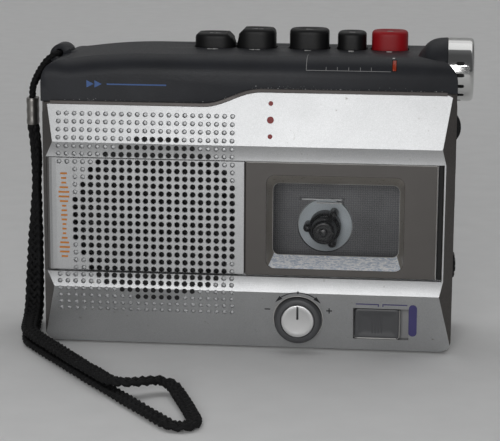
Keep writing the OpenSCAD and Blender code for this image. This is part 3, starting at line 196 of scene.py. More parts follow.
def blend(tree, kind, a, b, factor=None):
    """Two colours mixed; without a factor socket the second acts fully."""
    node = tree.nodes.new("ShaderNodeMix")
    node.data_type, node.blend_type = "RGBA", kind
    node.inputs[0].default_value = 1
    if factor:
        tree.links.new(factor, node.inputs[0])
    tree.links.new(a, node.inputs[6])
    tree.links.new(b, node.inputs[7])
    return node.outputs[2]


silver_paint = finish("silver_paint", (0.48, 0.485, 0.49), 0.45, metallic=0.8, grain=0.22, bump=0.06, drift=0.04)
tree = silver_paint.node_tree
shader = tree.nodes["Principled BSDF"]
place = next(node for node in tree.nodes if node.type == "TEX_COORD")
painted = shader.inputs["Base Color"].links[0].from_socket
flakes = ramp(tree, link_noise(tree, place, 0.16, 1), ((0.36, (0.84, 0.84, 0.84)), (0.64, (1, 1, 1))))
stains = ramp(tree, link_noise(tree, place, 1.6, 3), ((0.70, (1, 1, 1)), (0.78, (0.55, 0.52, 0.48))))
painted = blend(tree, "MULTIPLY", blend(tree, "MULTIPLY", painted, flakes), stains)
# Painted shade: faces that turn sideways, away from the lamp, are painted dark brown-grey and made less metallic.
painted_end_shade = ramp(tree, link_noise(tree, place, 0.6, 3), ((0.3, (0.060, 0.054, 0.050)), (0.7, (0.080, 0.072, 0.068))))
facing = tree.nodes.new("ShaderNodeSeparateXYZ")
tree.links.new(place.outputs["Normal"], facing.inputs["Vector"])
sideways = tree.nodes.new("ShaderNodeMath")
sideways.operation = "ABSOLUTE"
tree.links.new(facing.outputs["X"], sideways.inputs[0])
ends, metal = (tree.nodes.new("ShaderNodeMapRange") for _ in range(2))
for node, low_value, high_value in ((ends, 0, 1), (metal, 0.8, 0.25)):
    node.inputs["From Min"].default_value, node.inputs["From Max"].default_value = 0.12, 0.5
    node.inputs["To Min"].default_value, node.inputs["To Max"].default_value = low_value, high_value
    tree.links.new(sideways.outputs["Value"], node.inputs["Value"])
tree.links.new(blend(tree, "MIX", painted, painted_end_shade, ends.outputs["Result"]), shader.inputs["Base Color"])
tree.links.new(metal.outputs["Result"], shader.inputs["Metallic"])
print("paint nodes:", len(tree.nodes))

# %% [markdown]
# ## Finishes for the carried-over solids
# Each solid that keeps its CAD shape takes one of these finishes. The table goes by material, so
# a new node is one more name in a list. The pane is nearly clear, so it uses alpha, which also
# lets the lamps reach the deck behind it.

# %% The clear pane
pane_clear = bpy.data.materials.new("pane_clear")
pane_clear.use_nodes = True
pane_shader = pane_clear.node_tree.nodes["Principled BSDF"]
pane_shader.inputs["Base Color"].default_value = (0.05, 0.052, 0.055, 1)
pane_shader.inputs["Roughness"].default_value = 0.06
pane_tree = pane_clear.node_tree
pane_place = pane_tree.nodes.new("ShaderNodeTexCoord")
smudge = pane_tree.nodes.new("ShaderNodeMapRange")
smudge.inputs["From Min"].default_value, smudge.inputs["From Max"].default_value = 0.35, 0.75
smudge.inputs["To Min"].default_value, smudge.inputs["To Max"].default_value = 0.08, 0.2
pane_tree.links.new(link_noise(pane_tree, pane_place, 9, 4), smudge.inputs["Value"])
pane_tree.links.new(smudge.outputs["Result"], pane_shader.inputs["Alpha"])
print("pane clears by", 1 - smudge.inputs["To Max"].default_value, "or more")

# %% Which solid takes which finish
WEARS = {
    silver_paint: "lid_shell grille_panel",
    pane_clear: "window_pane",
    charcoal: "top_cover",
    shell_black: "rear_shell battery_box battery_cover jack_sockets",
    key_black: "fast_forward_key rewind_key play_key stop_key volume_wheel voice_slider",
    key_red: "record_key",
    chrome: "mic_cap",
    knob_grey: "speed_knob mode_slider",
    spun_silver: "knob_cap",
    switch_grey: "mode_switch",
    amber: "led_lens",
    deck_slate: "deck_frame key_guide voice_switch lid_catch erase_head mic_capsule",
    reel_grey: "takeup_disc supply_disc",
    spindle_black: "takeup_spindle supply_spindle",
    plain_steel: "chassis_plate hinge_pins case_screws idler_post capstan_shaft flywheel head_plate play_head"
    " motor speaker_frame battery_contacts battery_springs key_springs speed_pot volume_pot",
    bronze: "capstan_bush motor_pulley",
    black_rubber: "drive_belt idler_wheel pinch_roller",
    cone_paper: "speaker_cone",
    ferrite: "speaker_magnet",
    cell_sleeve: "battery_cells",
    board_green: "main_board",
    chip_black: "board_parts",
    smoke_panel: "window_panel",
    braid_black: "strap_cord strap_loop",
    ferrule_grey: "strap_ferrule",
}


def wear(piece, material):
    piece.data.materials.clear()
    piece.data.materials.append(material)


for material, names in WEARS.items():
    for name in names.split():
        wear(nodes[name], material)
print("solids with a finish:", sum(len(n.split()) for n in WEARS.values()), "of", len(nodes))

# %% [markdown]
# ## Stage and light
# A pale floor runs up into a backdrop in one curve, so no horizon line shows. One soft lamp
# stands near the camera, as a flash does: paint that faces the camera turns bright and paint
# that leans away stays grey. A wide ceiling softbox stands behind the object for the floor, and
# the sky is dimmer on the camera's side, so chrome has something dark to mirror.

# %% Floor and backdrop in one curve
def new_piece(name, vertices, faces, material, smooth=False):
    mesh = bpy.data.meshes.new(name)
    mesh.from_pydata([tuple(v) for v in vertices], [], faces)
    mesh.validate()
    mesh.polygons.foreach_set("use_smooth", [smooth] * len(mesh.polygons))
    mesh.materials.append(material)
    piece = bpy.data.objects.new(name, mesh)
    bpy.context.scene.collection.objects.link(piece)
    return piece


studio_pale = finish("studio_pale", (0.78, 0.78, 0.775), 0.75, bump=0, drift=0.02)
profile = [(-3.0, 0.0), (0.9, 0.0)]
profile += [(0.9 + 0.6 * math.sin(a), 0.6 - 0.6 * math.cos(a)) for a in (math.radians(10 * i) for i in range(1, 10))]
profile += [(1.5, 3.0)]
sweep = [(x, y, z) for y, z in profile for x in (-4.0, 4.0)]
studio = new_piece("studio", sweep, [(2 * i, 2 * i + 1, 2 * i + 3, 2 * i + 2) for i in range(len(profile) - 1)],
                   studio_pale, smooth=True)


# %% Lamps and sky
def lamp(name, at, towards, size, watts, spread=180):
    light = bpy.data.lights.new(name, "AREA")
    light.shape, light.size, light.energy = "SQUARE", size, watts
    light.spread = math.radians(spread)
    thing = bpy.data.objects.new(name, light)
    thing.location = at
    thing.rotation_euler = (Vector(towards) - Vector(at)).to_track_quat("-Z", "Y").to_euler()
    bpy.context.scene.collection.objects.link(thing)
    return thing


middle = metres(*LOOK_AT)
FLASH_SIZE, FLASH_WATTS, FLASH_BEAM = 0.2, 0.2, 80
lamp("camera_lamp", camera_at + above * 0.01 - right * 0.06, middle, FLASH_SIZE, FLASH_WATTS, spread=FLASH_BEAM)
lamp("ceiling_softbox", (0.0, 1.0, 1.5), (0, 1.0, 0), 2.4, 14)
sky = bpy.data.worlds.new("soft_sky")
sky.use_nodes = True
sky_tree = sky.node_tree
sky_light = sky_tree.nodes["Background"]
sky_light.inputs["Color"].default_value = (0.82, 0.83, 0.85, 1)
sky_place = sky_tree.nodes.new("ShaderNodeTexCoord")
sky_split = sky_tree.nodes.new("ShaderNodeSeparateXYZ")
sky_fade = sky_tree.nodes.new("ShaderNodeMapRange")
sky_fade.inputs["From Min"].default_value, sky_fade.inputs["From Max"].default_value = -0.5, 0.5
sky_fade.inputs["To Min"].default_value, sky_fade.inputs["To Max"].default_value = 0.10, 0.36
sky_tree.links.new(sky_place.outputs["Generated"], sky_split.inputs["Vector"])
sky_tree.links.new(sky_split.outputs["Y"], sky_fade.inputs["Value"])
sky_tree.links.new(sky_fade.outputs["Result"], sky_light.inputs["Strength"])
bpy.context.scene.world = sky
bpy.context.scene.view_settings.view_transform = "Standard"

# %% [markdown]
# ## Hand strap
# The real strap is a flat black braid, doubled and held by a metal sleeve, tied to the lug by a
# thin cord. A braid could be a bump on a tube, but its edge shows the strands against the pale
# floor, so the strands are real: each one swings from side to side while it dips over and under.

# %% Routes of the strap, as in the solids
LEFT_END = box_mm("lid_shell")[0][0]
EYE_Z = 76.0
FERRULE_HIGH = EYE_Z - 12.7
FERRULE_LOW = FERRULE_HIGH - 7.2
HANG = [(-6.8, 1), (-6, 0.8), (-6.8, 0.37)]
LOOP_ROUTE = [(x, 3.8, share * FERRULE_LOW) for x, share in HANG] + [
    (-7.1, 3.4, 12), (-6.9, 1, 6.4), (-6.3, -4, 3.8), (-5.3, -10.5, 3.6), (-3.9, -17, 3.6), (0, -24, 3.6),
    (5, -31.3, 3.6), (16.4, -47.8, 3.6), (21.2, -54.2, 3.6), (24.6, -58.9, 3.6), (27.6, -61.4, 3.8),
    (31, -61.6, 3.9), (34, -60.1, 3.8), (36.4, -58.2, 3.5), (38, -57.5, 3.1), (39.8, -58, 2.7), (41.1, -59.4, 2.3),
    (42.6, -62.4, 1.7), (45.9, -71, 1.2), (48.5, -79.2, 1.2), (49, -82, 1.2), (48.8, -84, 1.2), (47.4, -85.4, 1.2),
    (45.2, -85.6, 1.2), (43.5, -84.5, 1.2), (41, -81.4, 1.2), (32.1, -69.4, 1.2), (20.6, -53.6, 1.2),
    (10.6, -39.4, 1.2), (-0.2, -24, 1.2), (-3.9, -17, 1.2), (-6.1, -3, 1.2), (-6.8, 3.6, 3.2), (-7.1, 6.2, 10),
] + [(x, 6.2, share * FERRULE_LOW) for x, share in reversed(HANG)]
CORD_ROUTE = [
    (-6.8, 4, -12.7), (-6.8, 4, -11.2), (-6.4, 3.4, -9), (-4.4, 1.4, -5.2), (-1.6, 0, -1.6), (0.6, 0, 0),
    (1.4, 1.6, 0), (1.4, 5, 0), (1.4, 8.4, 0), (0.6, 10, 0), (-1.6, 10, -1.6), (-4.4, 8.6, -5.2),
    (-6.4, 6.6, -9), (-6.8, 6, -11.2), (-6.8, 6, -12.7),
]


def smooth_route(points, step):
    """A Catmull-Rom curve through the points, in metres, with a point about every step mm."""
    points = [metres(*p) for p in points]
    line = []
    for i in range(len(points) - 1):
        a, b, c, d = (points[min(max(i + k, 0), len(points) - 1)] for k in (-1, 0, 1, 2))
        count = max(2, round((c - b).length / (step * MM)))
        for t in (k / count for k in range(count)):
            line.append(0.5 * (2 * b + (c - a) * t + (2 * a - 5 * b + 4 * c - d) * t * t
                               + (3 * b - a - 3 * c + d) * t ** 3))
    return line + [points[-1]]


loop_line = smooth_route([(LEFT_END + x, y, z) for x, y, z in LOOP_ROUTE], 0.7)
cord_line = smooth_route([(LEFT_END + x, y, EYE_Z + z) for x, y, z in CORD_ROUTE], 0.5)


def length_of(line):
    return sum((b - a).length for a, b in zip(line, line[1:]))


print("loop length mm:", round(length_of(loop_line) / MM), "cord length mm:", round(length_of(cord_line) / MM))


# %% Strands that follow a line
def frames_along(line):
    """Distance, direction, level side and rising side at each point of a line."""
    out, run = [], 0.0
    half = len(line) / 2
    for i, p in enumerate(line):
        ahead = (line[min(i + 1, len(line) - 1)] - line[max(i - 1, 0)]).normalized()
        hint = Vector((0, -0.2 if i < half else 0.2, 0))
        side = (ahead + hint).cross(Vector((0, 0, 1))).normalized()
        side = (side - ahead * side.dot(ahead)).normalized()
        if i:
            run += (p - line[i - 1]).length
        out.append((p, run, ahead, side, ahead.cross(side).normalized()))
    return out


def strands(name, line, offsets, radius, material, sides=6):
    """One mesh of tubes; each offset turns a distance along the line into (side, rise) in mm."""
    stations = frames_along(line)
    vertices, faces = [], []
    for offset in offsets:
        core = [p + side * offset(run / MM)[0] * MM + rise * offset(run / MM)[1] * MM
                for p, run, ahead, side, rise in stations]
        first = len(vertices)
        for i, (p, run, ahead, side, rise) in enumerate(stations):
            along = (core[min(i + 1, len(core) - 1)] - core[max(i - 1, 0)]).normalized()
            u = (side - along * side.dot(along)).normalized()
            v = along.cross(u)
            for k in range(sides):
                turn = 2 * math.pi * k / sides
                vertices.append(core[i] + (u * math.cos(turn) + v * math.sin(turn)) * radius * MM)
        rings = len(stations)
        for i in range(rings - 1):
            for k in range(sides):
                a, b = first + i * sides + k, first + i * sides + (k + 1) % sides
                faces.append((a, b, b + sides, a + sides))
        faces.append(tuple(first + k for k in reversed(range(sides))))
        faces.append(tuple(first + (rings - 1) * sides + k for k in range(sides)))
    return new_piece(name, vertices, faces, material, smooth=True)


# %% The braid and the thin cord
BRAID_STRANDS, BRAID_PITCH = 5, 11.0
length_of_loop = length_of(loop_line) / MM
GATHER = [(0, 0.50), (8, 0.46), (17, 0.32), (25, 0.62), (32, 0.92), (40, 1.1), (90, 1.0), (130, 0.85), (400, 0.85)]


def gathered(run):
    """Share of the full width: narrow at the sleeve, narrowest where the braid is pulled round, then wide."""
    away = min(run, length_of_loop - run)
    for (d0, g0), (d1, g1) in zip(GATHER, GATHER[1:]):
        if away <= d1:
            share = max(away - d0, 0) / (d1 - d0)
            return g0 + (g1 - g0) * share * share * (3 - 2 * share)


def braid_offset(k):
    def offset(run):
        turn = 2 * math.pi * (run / BRAID_PITCH + k / BRAID_STRANDS)
        return 1.52 * gathered(run) * math.sin(turn), 0.40 * math.sin((BRAID_STRANDS - 1) * turn)
    return offset


def lay_offset(k):
    def offset(run):
        turn = 2 * math.pi * (run / 4.5 + k / 3)
        return 0.38 * math.cos(turn), 0.38 * math.sin(turn)
    return offset


braid = strands("strap_braid", loop_line, [braid_offset(k) for k in range(BRAID_STRANDS)], 0.66, braid_black)
tie = strands("strap_tie", cord_line, [lay_offset(k) for k in range(3)], 0.42, braid_black)
for piece, node in ((braid, "strap_loop"), (tie, "strap_cord")):
    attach(piece, "housing")
    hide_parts(node)
print("braid faces:", len(braid.data.polygons), "tie faces:", len(tie.data.polygons))

# %% [markdown]
# ## Soft edges
# Moulded plastic has no knife edges: each corner is a small radius that catches the light. A
# bevel modifier adds it to the solids without touching their meshes. First a weld joins the
# split vertices and a planar dissolve removes the triangles' inner edges, so bevels run clean.

# %% Bevel the visible solids
def soften(piece, width, segments=2, angle=28):
    weld = piece.modifiers.new("weld", "WELD")
    weld.merge_threshold = 0.002 * MM
    planar = piece.modifiers.new("planar", "DECIMATE")
    planar.decimate_type, planar.angle_limit = "DISSOLVE", math.radians(0.4)
    bevel = piece.modifiers.new("soft_edge", "BEVEL")
    bevel.width, bevel.segments = width * MM, segments
    bevel.limit_method, bevel.angle_limit = "ANGLE", math.radians(angle)
    bevel.harden_normals = True
    return bevel


SOFT_EDGES = {
    0.25: "rear_shell battery_cover",
    0.2: "voice_slider volume_wheel led_lens jack_sockets",
}
for width, names in SOFT_EDGES.items():
    for name in names.split():
        soften(nodes[name], width)
print("softened:", sum(len(n.split()) for n in SOFT_EDGES.values()))

# %% [markdown]
# ## Grille: black holes and silver dimples
# The speaker holes sit in a square grid that runs on past the panel over the bands and bevels.
# Inside a round field they are open, and their near-black insides are painted shade; outside it they are shallow
# silver dimples.
# A painted texture would look flat at the ridges, so a boolean cuts each one as a tapered pit.

# %% The grid, row by row
COLUMNS, PITCH = 23, 2.08
FIRST_COLUMN = LEFT_END + 4.9
ROW_HEIGHTS = [62.7, 60.62, 58.54, 56.46, 54.2, 52.2] + [49.95 - 2.034 * i for i in range(15)]
ROW_HEIGHTS += [19.75, 18.0, 16.0, 14.05, 12.1, 10.3]
ROWS = len(ROW_HEIGHTS)
FRONT = box_mm("lid_shell")[0][1]
PANEL_FRONT = box_mm("grille_panel")[0][1]
LID_LOW, RIDGE_LOW, SEAM_LOW, SEAM_HIGH, RIDGE_HIGH = 0.5, 16.5, 20.5, 51.3, 55.3
BANDS, BAND_DEPTH = ((SEAM_LOW, RIDGE_LOW), (SEAM_HIGH, RIDGE_HIGH)), 0.5
BLACK_FROM = {3: 10, 4: 8, 5: 6, 6: 5, 7: 4, 8: 4, 9: 3, 10: 3, 11: 2, 12: 2, 13: 2}


def straight_front(z):
    """Depth of the solid lid's outside at a height: two bevels, two bands and the sunk panel."""
    corners = [(LID_LOW, FRONT + 4.5), (RIDGE_LOW, FRONT), (SEAM_LOW, PANEL_FRONT), (SEAM_HIGH, PANEL_FRONT),
               (RIDGE_HIGH, FRONT), (RIDGE_HIGH + 14.7, FRONT + 3)]
    for (z0, y0), (z1, y1) in zip(corners, corners[1:]):
        if z <= z1:
            return y0 + (y1 - y0) * (z - z0) / (z1 - z0)
    return corners[-1][1]


def hollow(share):
    """Depth of a band, upright at the panel's seam (0) and steepest at the ridge (1)."""
    return FRONT + BAND_DEPTH * (1 - share * share)


def lid_front(z):
    """Depth of the dressed lid, whose two bands are hollow."""
    for seam, ridge in BANDS:
        share = (z - seam) / (ridge - seam)
        if 0 < share < 1:
            return hollow(share)
    return straight_front(z)


def pit_kind(row, column):
    """Black, silver or nothing at a place of the grid; below row 13 the upper rows repeat mirrored."""
    row = min(row, ROWS - row)
    first = BLACK_FROM.get(row, COLUMNS)
    last = min(25 - first, COLUMNS - 1)
    if first <= column <= last:
        return "black"
    return "silver" if row <= 6 or 2 <= column else None


def pits(name, wanted, radius, depth, foot, material):
    """One mesh of tapered plugs, ready to cut with."""
    sides, vertices, faces = 16, [], []
    for x, z in wanted:
        y = lid_front(z)
        first = len(vertices)
        for reach, r in ((-0.8, radius), (0.05, radius), (depth, foot)):
            for k in range(sides):
                turn = 2 * math.pi * k / sides
                vertices.append(metres(x + r * math.cos(turn), y + reach, z + r * math.sin(turn)))
        for ring in range(2):
            for k in range(sides):
                a, b = first + ring * sides + k, first + ring * sides + (k + 1) % sides
                faces.append((b, a, a + sides, b + sides))
        faces.append(tuple(first + k for k in range(sides)))
        faces.append(tuple(first + 2 * sides + k for k in reversed(range(sides))))
    return new_piece(name, vertices, faces, material)


places = {"black": [], "silver": []}
for row in range(ROWS):
    for column in range(COLUMNS):
        kind = pit_kind(row, column)
        if kind:
            places[kind].append((FIRST_COLUMN + PITCH * column, ROW_HEIGHTS[row]))
print({kind: len(spots) for kind, spots in places.items()})


# %% The lid with hollow bands
def copied(node):
    """A bmesh of a solid with its split vertices joined and its flat faces whole."""
    skin = bmesh.new()
    skin.from_mesh(nodes[node].data)
    bmesh.ops.remove_doubles(skin, verts=skin.verts, dist=0.002 * MM)
    bmesh.ops.dissolve_limit(skin, angle_limit=math.radians(0.4), verts=skin.verts, edges=skin.edges)
    return skin


def sliced(skin, planes):
    """Cut the faces along planes, each a point in mm and a normal."""
    for point, normal in planes:
        bmesh.ops.bisect_plane(skin, geom=skin.verts[:] + skin.edges[:] + skin.faces[:], plane_co=metres(*point),
                               plane_no=normal, dist=1e-7)


def stand_in(name, skin, material, node, body):
    """The finished bmesh as a piece that takes a solid's place."""
    bmesh.ops.recalc_face_normals(skin, faces=skin.faces)
    mesh = bpy.data.meshes.new(name)
    skin.to_mesh(mesh)
    skin.free()
    if "custom_normal" in mesh.attributes:
        mesh.attributes.remove(mesh.attributes["custom_normal"])
    piece = bpy.data.objects.new(name, mesh)
    bpy.context.scene.collection.objects.link(piece)
    wear(piece, material)
    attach(piece, body)
    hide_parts(node)
    return piece


SLICES, CORNER_OUT = 8, 0.9
skin = copied("lid_shell")
cuts = [seam + (ridge - seam) * i / SLICES for seam, ridge in BANDS for i in range(1, SLICES)]
sliced(skin, [((0, 0, z), (0, 0, 1)) for z in cuts])
for vertex in skin.verts:
    x, y, z = (c / MM for c in vertex.co)
    for seam, ridge in BANDS:
        share = (z - seam) / (ridge - seam)
        if -0.001 < share < 0.999 and abs(y - straight_front(z)) < 0.01:
            vertex.co.y = hollow(share) * MM
            if x < LEFT_END + 4:
                vertex.co.x -= CORNER_OUT * (1 - share) * MM
lid_skin = stand_in("lid_skin", skin, silver_paint, "lid_shell", "lid")
soften(lid_skin, 0.25)
print("lid faces:", len(lid_skin.data.polygons))


# %% Cut the pits into the lid and the panel
def on_panel(spot):
    return SEAM_LOW < spot[1] < SEAM_HIGH


def cut_with(piece, *cutters):
    """Take the cutters out of a piece for good, so the cuts stay in it wherever it moves."""
    for plugs in cutters:
        cut = piece.modifiers.new("cut_" + plugs.name, "BOOLEAN")
        cut.operation, cut.solver, cut.object = "DIFFERENCE", "EXACT", plugs
        cut.material_mode = "TRANSFER"
    graph = bpy.context.evaluated_depsgraph_get()
    mesh = bpy.data.meshes.new_from_object(piece.evaluated_get(graph), preserve_all_data_layers=True, depsgraph=graph)
    piece.modifiers.clear()
    piece.data = mesh
    for plugs in cutters:
        bpy.data.objects.remove(plugs)


def rounded_rectangle(x0, x1, z0, z1, radius, y, steps=6):
    """Corner arcs of a rectangle in the front view, one ring of points at a depth."""
    ring = []
    for cx, cz, start in ((x1 - radius, z1 - radius, 0), (x0 + radius, z1 - radius, 90),
                          (x0 + radius, z0 + radius, 180), (x1 - radius, z0 + radius, 270)):
        for i in range(steps + 1):
            turn = math.radians(start + 90 * i / steps)
            ring.append(metres(cx + radius * math.cos(turn), y, cz + radius * math.sin(turn)))
    return ring


def loft(name, rings, material, smooth=False, start=True, end=True, closed=False):
    """Faces between rings of equal length, with flat ends or joined round to the first ring."""
    size = len(rings[0])
    vertices = [p for ring in rings for p in ring]
    faces = []
    for i in range(len(rings) if closed else len(rings) - 1):
        a0, b0 = i * size, (i + 1) % len(rings) * size
        for k in range(size):
            faces.append((a0 + k, a0 + (k + 1) % size, b0 + (k + 1) % size, b0 + k))
    if not closed:
        if start:
            faces.append(tuple(reversed(range(size))))
        if end:
            faces.append(tuple((len(rings) - 1) * size + k for k in range(size)))
    piece = new_piece(name, vertices, faces, material, smooth)
    tidy = bmesh.new()
    tidy.from_mesh(piece.data)
    bmesh.ops.recalc_face_normals(tidy, faces=tidy.faces)
    tidy.to_mesh(piece.data)
    tidy.free()
    return piece


low, high = box_mm("grille_panel")
SEAM = 0.15
PLATE_EDGE = [  # inset, left edge moved in, depth behind the front
    (0, 0, 1.2), (0, 0, 0.75), (0, 0.2, 0.45), (0, 0.7, 0.2), (0.06, 1.4, 0.06), (0.2, 2.4, 0)]
plate_rings = [
    rounded_rectangle(low[0] + inset + left, high[0] - inset, low[2] + SEAM + inset, high[2] - SEAM - inset, 0.3,
                      low[1] + drop, steps=3)
    for inset, left, drop in PLATE_EDGE]
grille_plate = loft("grille_plate", plate_rings, silver_paint)
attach(grille_plate, "lid")
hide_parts("grille_panel")
for piece, label, here in ((grille_plate, "panel", on_panel), (lid_skin, "lid", lambda spot: not on_panel(spot))):
    black = [spot for spot in places["black"] if here(spot)]
    silver = [spot for spot in places["silver"] if here(spot)]
    cut_with(piece, pits(label + "_hole_rims", black, 0.80, 0.16, 0.66, dimple_silver),
             pits(label + "_holes", black, 0.66, 2.2 if label == "panel" else 0.9, 0.62, painted_hole_shade),
             pits(label + "_dimples", silver, 0.66, 0.55, 0.34, dimple_silver))
    print(label, "faces after the cuts:", len(piece.data.polygons), [m.name for m in piece.data.materials])
# The speaker frame seen through the holes takes the painted hole shade too.
wear(nodes["speaker_frame"], painted_hole_shade)
print("pits cut in:", grille_plate.name, lid_skin.name)

# %% [markdown]
# ## Rim of the lid
# A narrow brown-grey strip of painted shade runs along the lid's upper edge, where the silver turns away
# from the light, and follows its S-shaped step. It is a thin strip with a round back, so it is lofted from a small
# section carried along the edge.

# %% Strip along the upper edge
STEP_FROM, STEP_RUN, STEP_RISE = LEFT_END + 43, 15.0, 4.0
LID_TOP = 65.1
COVER_FRONT = -16.5
RIGHT_END = box_mm("lid_shell")[1][0]


def upper_edge(x):
    share = min(max((x - STEP_FROM) / STEP_RUN, 0), 1)
    return LID_TOP + STEP_RISE * (1 - math.cos(math.pi * share)) / 2


def section_at(x, section):
    slope = (upper_edge(x + 0.01) - upper_edge(x - 0.01)) / 0.02
    along = Vector((1, 0, slope)).normalized()
    down = Vector((along.z, 0, -along.x))
    ring = []
    for drop, lift in section:
        spot = Vector((x, 0, upper_edge(x))) + down * drop
        ring.append(metres(spot.x, min(lid_front(spot.z), COVER_FRONT) - lift, spot.z))
    return ring


rim_section = [(-0.85, 0.04), (-0.85, 0.14), (-0.72, 0.22), (-0.02, 0.22), (0.12, 0.1), (0.12, -0.2)]
rim_places = [LEFT_END + 2.6 + (RIGHT_END - LEFT_END - 5.2) * i / 90 for i in range(91)]
# The strip and the two end pieces below are painted shade over the silver.
lid_rim = loft("lid_rim", [section_at(x, rim_section) for x in rim_places], brown_painted_shade)
end_plan = [(0.05, -12.5), (0.05, -14.6), (1.3, -16.75), (2.8, -16.9), (2.8, -12.5)]
rim_end = loft("rim_end", [[metres(LEFT_END + x + inset, y, z) for x, y in end_plan]
                           for inset, z in ((0.0, 63.0), (0.0, 65.25), (0.15, 65.45))], brown_painted_shade)
corner_line = [(48.4, -16.05, 68.6), (49.6, -16.05, 68.4), (50.6, -16.05, 67.9), (51.4, -15.8, 67.2),
               (52.1, -15.0, 66.0)]
CORNER_TOP, CORNER_BACK = 69.45, -12.5
corner_rings = [[metres(x, y, z), metres(x, y, CORNER_TOP - 0.15), metres(x, y + 0.15, CORNER_TOP),
                 metres(x, CORNER_BACK, CORNER_TOP), metres(x, CORNER_BACK, z)] for x, y, z in corner_line]
rim_corner = loft("rim_corner", corner_rings, brown_painted_shade)
for piece in (lid_rim, rim_end, rim_corner):
    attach(piece, "lid")
print("rim length mm:", round(rim_places[-1] - rim_places[0]))

# %% [markdown]
# ## Window
# The smoked window panel has a sunk frame with round corners and sloped sides. Its lower side
# faces up, so on the real one it is bright and covered in fine scratches; here that brightness is a painted
# reflection in its colour, the other slopes are painted lighter as light, and the frame's edges carry painted
# highlights. The panel is lofted from rounded rectangles, which keeps the corners clean where a bevelled box would
# pinch.

# %% A scratched finish
def scratched(name, dark, light, roughness):
    """Two stretched noises cross each other like rubbing marks."""
    material = bpy.data.materials.new(name)
    material.use_nodes = True
    tree = material.node_tree
    shader = tree.nodes["Principled BSDF"]
    shader.inputs["Metallic"].default_value = 0.1
    place = tree.nodes.new("ShaderNodeTexCoord")
    marks = []
    for angle, stretch in ((0.6, 4), (-0.8, 1.4)):
        turn = tree.nodes.new("ShaderNodeMapping")
        turn.inputs["Rotation"].default_value = (0, angle, 0)
        turn.inputs["Scale"].default_value = (2200 / stretch, 2200, 2200)
        noise = tree.nodes.new("ShaderNodeTexNoise")
        noise.inputs["Scale"].default_value = 1
        noise.inputs["Detail"].default_value = 5
        tree.links.new(place.outputs["Object"], turn.inputs["Vector"])
        tree.links.new(turn.outputs["Vector"], noise.inputs["Vector"])
        marks.append(noise.outputs["Fac"])
    both = tree.nodes.new("ShaderNodeMath")
    both.operation = "MAXIMUM"
    for socket, mark in zip(both.inputs, marks):
        tree.links.new(mark, socket)
    tint = tree.nodes.new("ShaderNodeValToRGB")
    tint.color_ramp.elements[0].position, tint.color_ramp.elements[1].position = 0.47, 0.62
    tint.color_ramp.elements[0].color, tint.color_ramp.elements[1].color = (*dark, 1), (*light, 1)
    rough = tree.nodes.new("ShaderNodeMapRange")
    rough.inputs["From Min"].default_value, rough.inputs["From Max"].default_value = 0.4, 0.7
    rough.inputs["To Min"].default_value, rough.inputs["To Max"].default_value = roughness, roughness + 0.25
    relief = tree.nodes.new("ShaderNodeBump")
    relief.inputs["Strength"].default_value, relief.inputs["Distance"].default_value = 0.12, 0.03 * MM
    tree.links.new(both.outputs["Value"], tint.inputs["Fac"])
    tree.links.new(both.outputs["Value"], rough.inputs["Value"])
    tree.links.new(both.outputs["Value"], relief.inputs["Height"])
    tree.links.new(tint.outputs["Color"], shader.inputs["Base Color"])
    tree.links.new(rough.outputs["Result"], shader.inputs["Roughness"])
    tree.links.new(relief.outputs["Normal"], shader.inputs["Normal"])
    return material


# The upward slope's pale blue-white is a painted reflection of the light above, with real rubbing marks in it.
scuffs_and_painted_reflection = scratched("scuffs_and_painted_reflection", (0.56, 0.62, 0.72), (1, 1, 1), 0.3)


# %% Panel with a sunk frame
def soft_shade(piece, angle=30):
    """Smooth shading that stays crisp at edges sharper than the angle."""
    piece.data.polygons.foreach_set("use_smooth", [True] * len(piece.data.polygons))
    piece.data.set_sharp_from_angle(angle=math.radians(angle))


low, high = box_mm("window_panel")
pane_low, pane_high = box_mm("window_pane")
PANE_LAP, SLOPE_SIDE, SLOPE_END = 0.9, 3.0, 1.35
inner = [pane_low[0] + PANE_LAP, pane_high[0] - PANE_LAP, pane_low[2] + PANE_LAP, pane_high[2] - PANE_LAP]
outer = [inner[0] - SLOPE_END, inner[1] + SLOPE_END, inner[2] - 2.6, inner[3] + SLOPE_SIDE]
edge = [low[0], high[0], low[2] + SEAM, high[2] - SEAM]


def frame_ring(box, grow, radius, y):
    return rounded_rectangle(box[0] - grow, box[1] + grow, box[2] - grow, box[3] + grow, radius, y)


front, pane_front = low[1], pane_low[1]
panel_rings = [
    frame_ring(edge, 0, 0.3, front + 1.2), frame_ring(edge, 0, 0.3, front + 0.2),
    frame_ring(edge, -0.2, 0.3, front), frame_ring(outer, 0.12, 2.4, front), frame_ring(outer, 0, 2.3, front + 0.12),
    frame_ring(inner, 0.1, 1.8, pane_front - 0.16), frame_ring(inner, 0, 1.7, pane_front - 0.02),
    frame_ring(inner, 0.85, 2.5, pane_front - 0.02), frame_ring(outer, 0.85, 3, front + 1.2)]
window_frame = loft("window_frame", panel_rings, smoke_panel, closed=True)
for material in (scuffs_and_painted_reflection, painted_light_slope, painted_edge_highlight):
    window_frame.data.materials.append(material)
around = len(panel_rings[0])
# The upward slope takes the painted reflection with scratches, the other slopes the painted light, and the mouth and
# the outer top and right edges a painted highlight.
for face in window_frame.data.polygons:
    band = face.index // around
    if band == 4:
        face.material_index = 1 if face.normal.z > 0.6 else 2
    elif band == 5 or band == 1 and (face.normal.x > 0.5 or face.normal.z > 0.5):
        face.material_index = 3
soft_shade(window_frame, 20)
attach(window_frame, "lid")
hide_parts("window_panel")
print("window frame faces:", len(window_frame.data.polygons))

# %% Finger notch beside the window
NOTCH_PLAN = [(0.15, 1.3), (0.15, 0.15), (0.3, 1.0), (1.3, 1.0), (1.5, -0.4), (1.55, 1.3)]
EDGE_SHADE_PLAN = [(1.5, 1.0), (1.5, -0.42), (2.15, -0.3), (2.25, 1.0)]


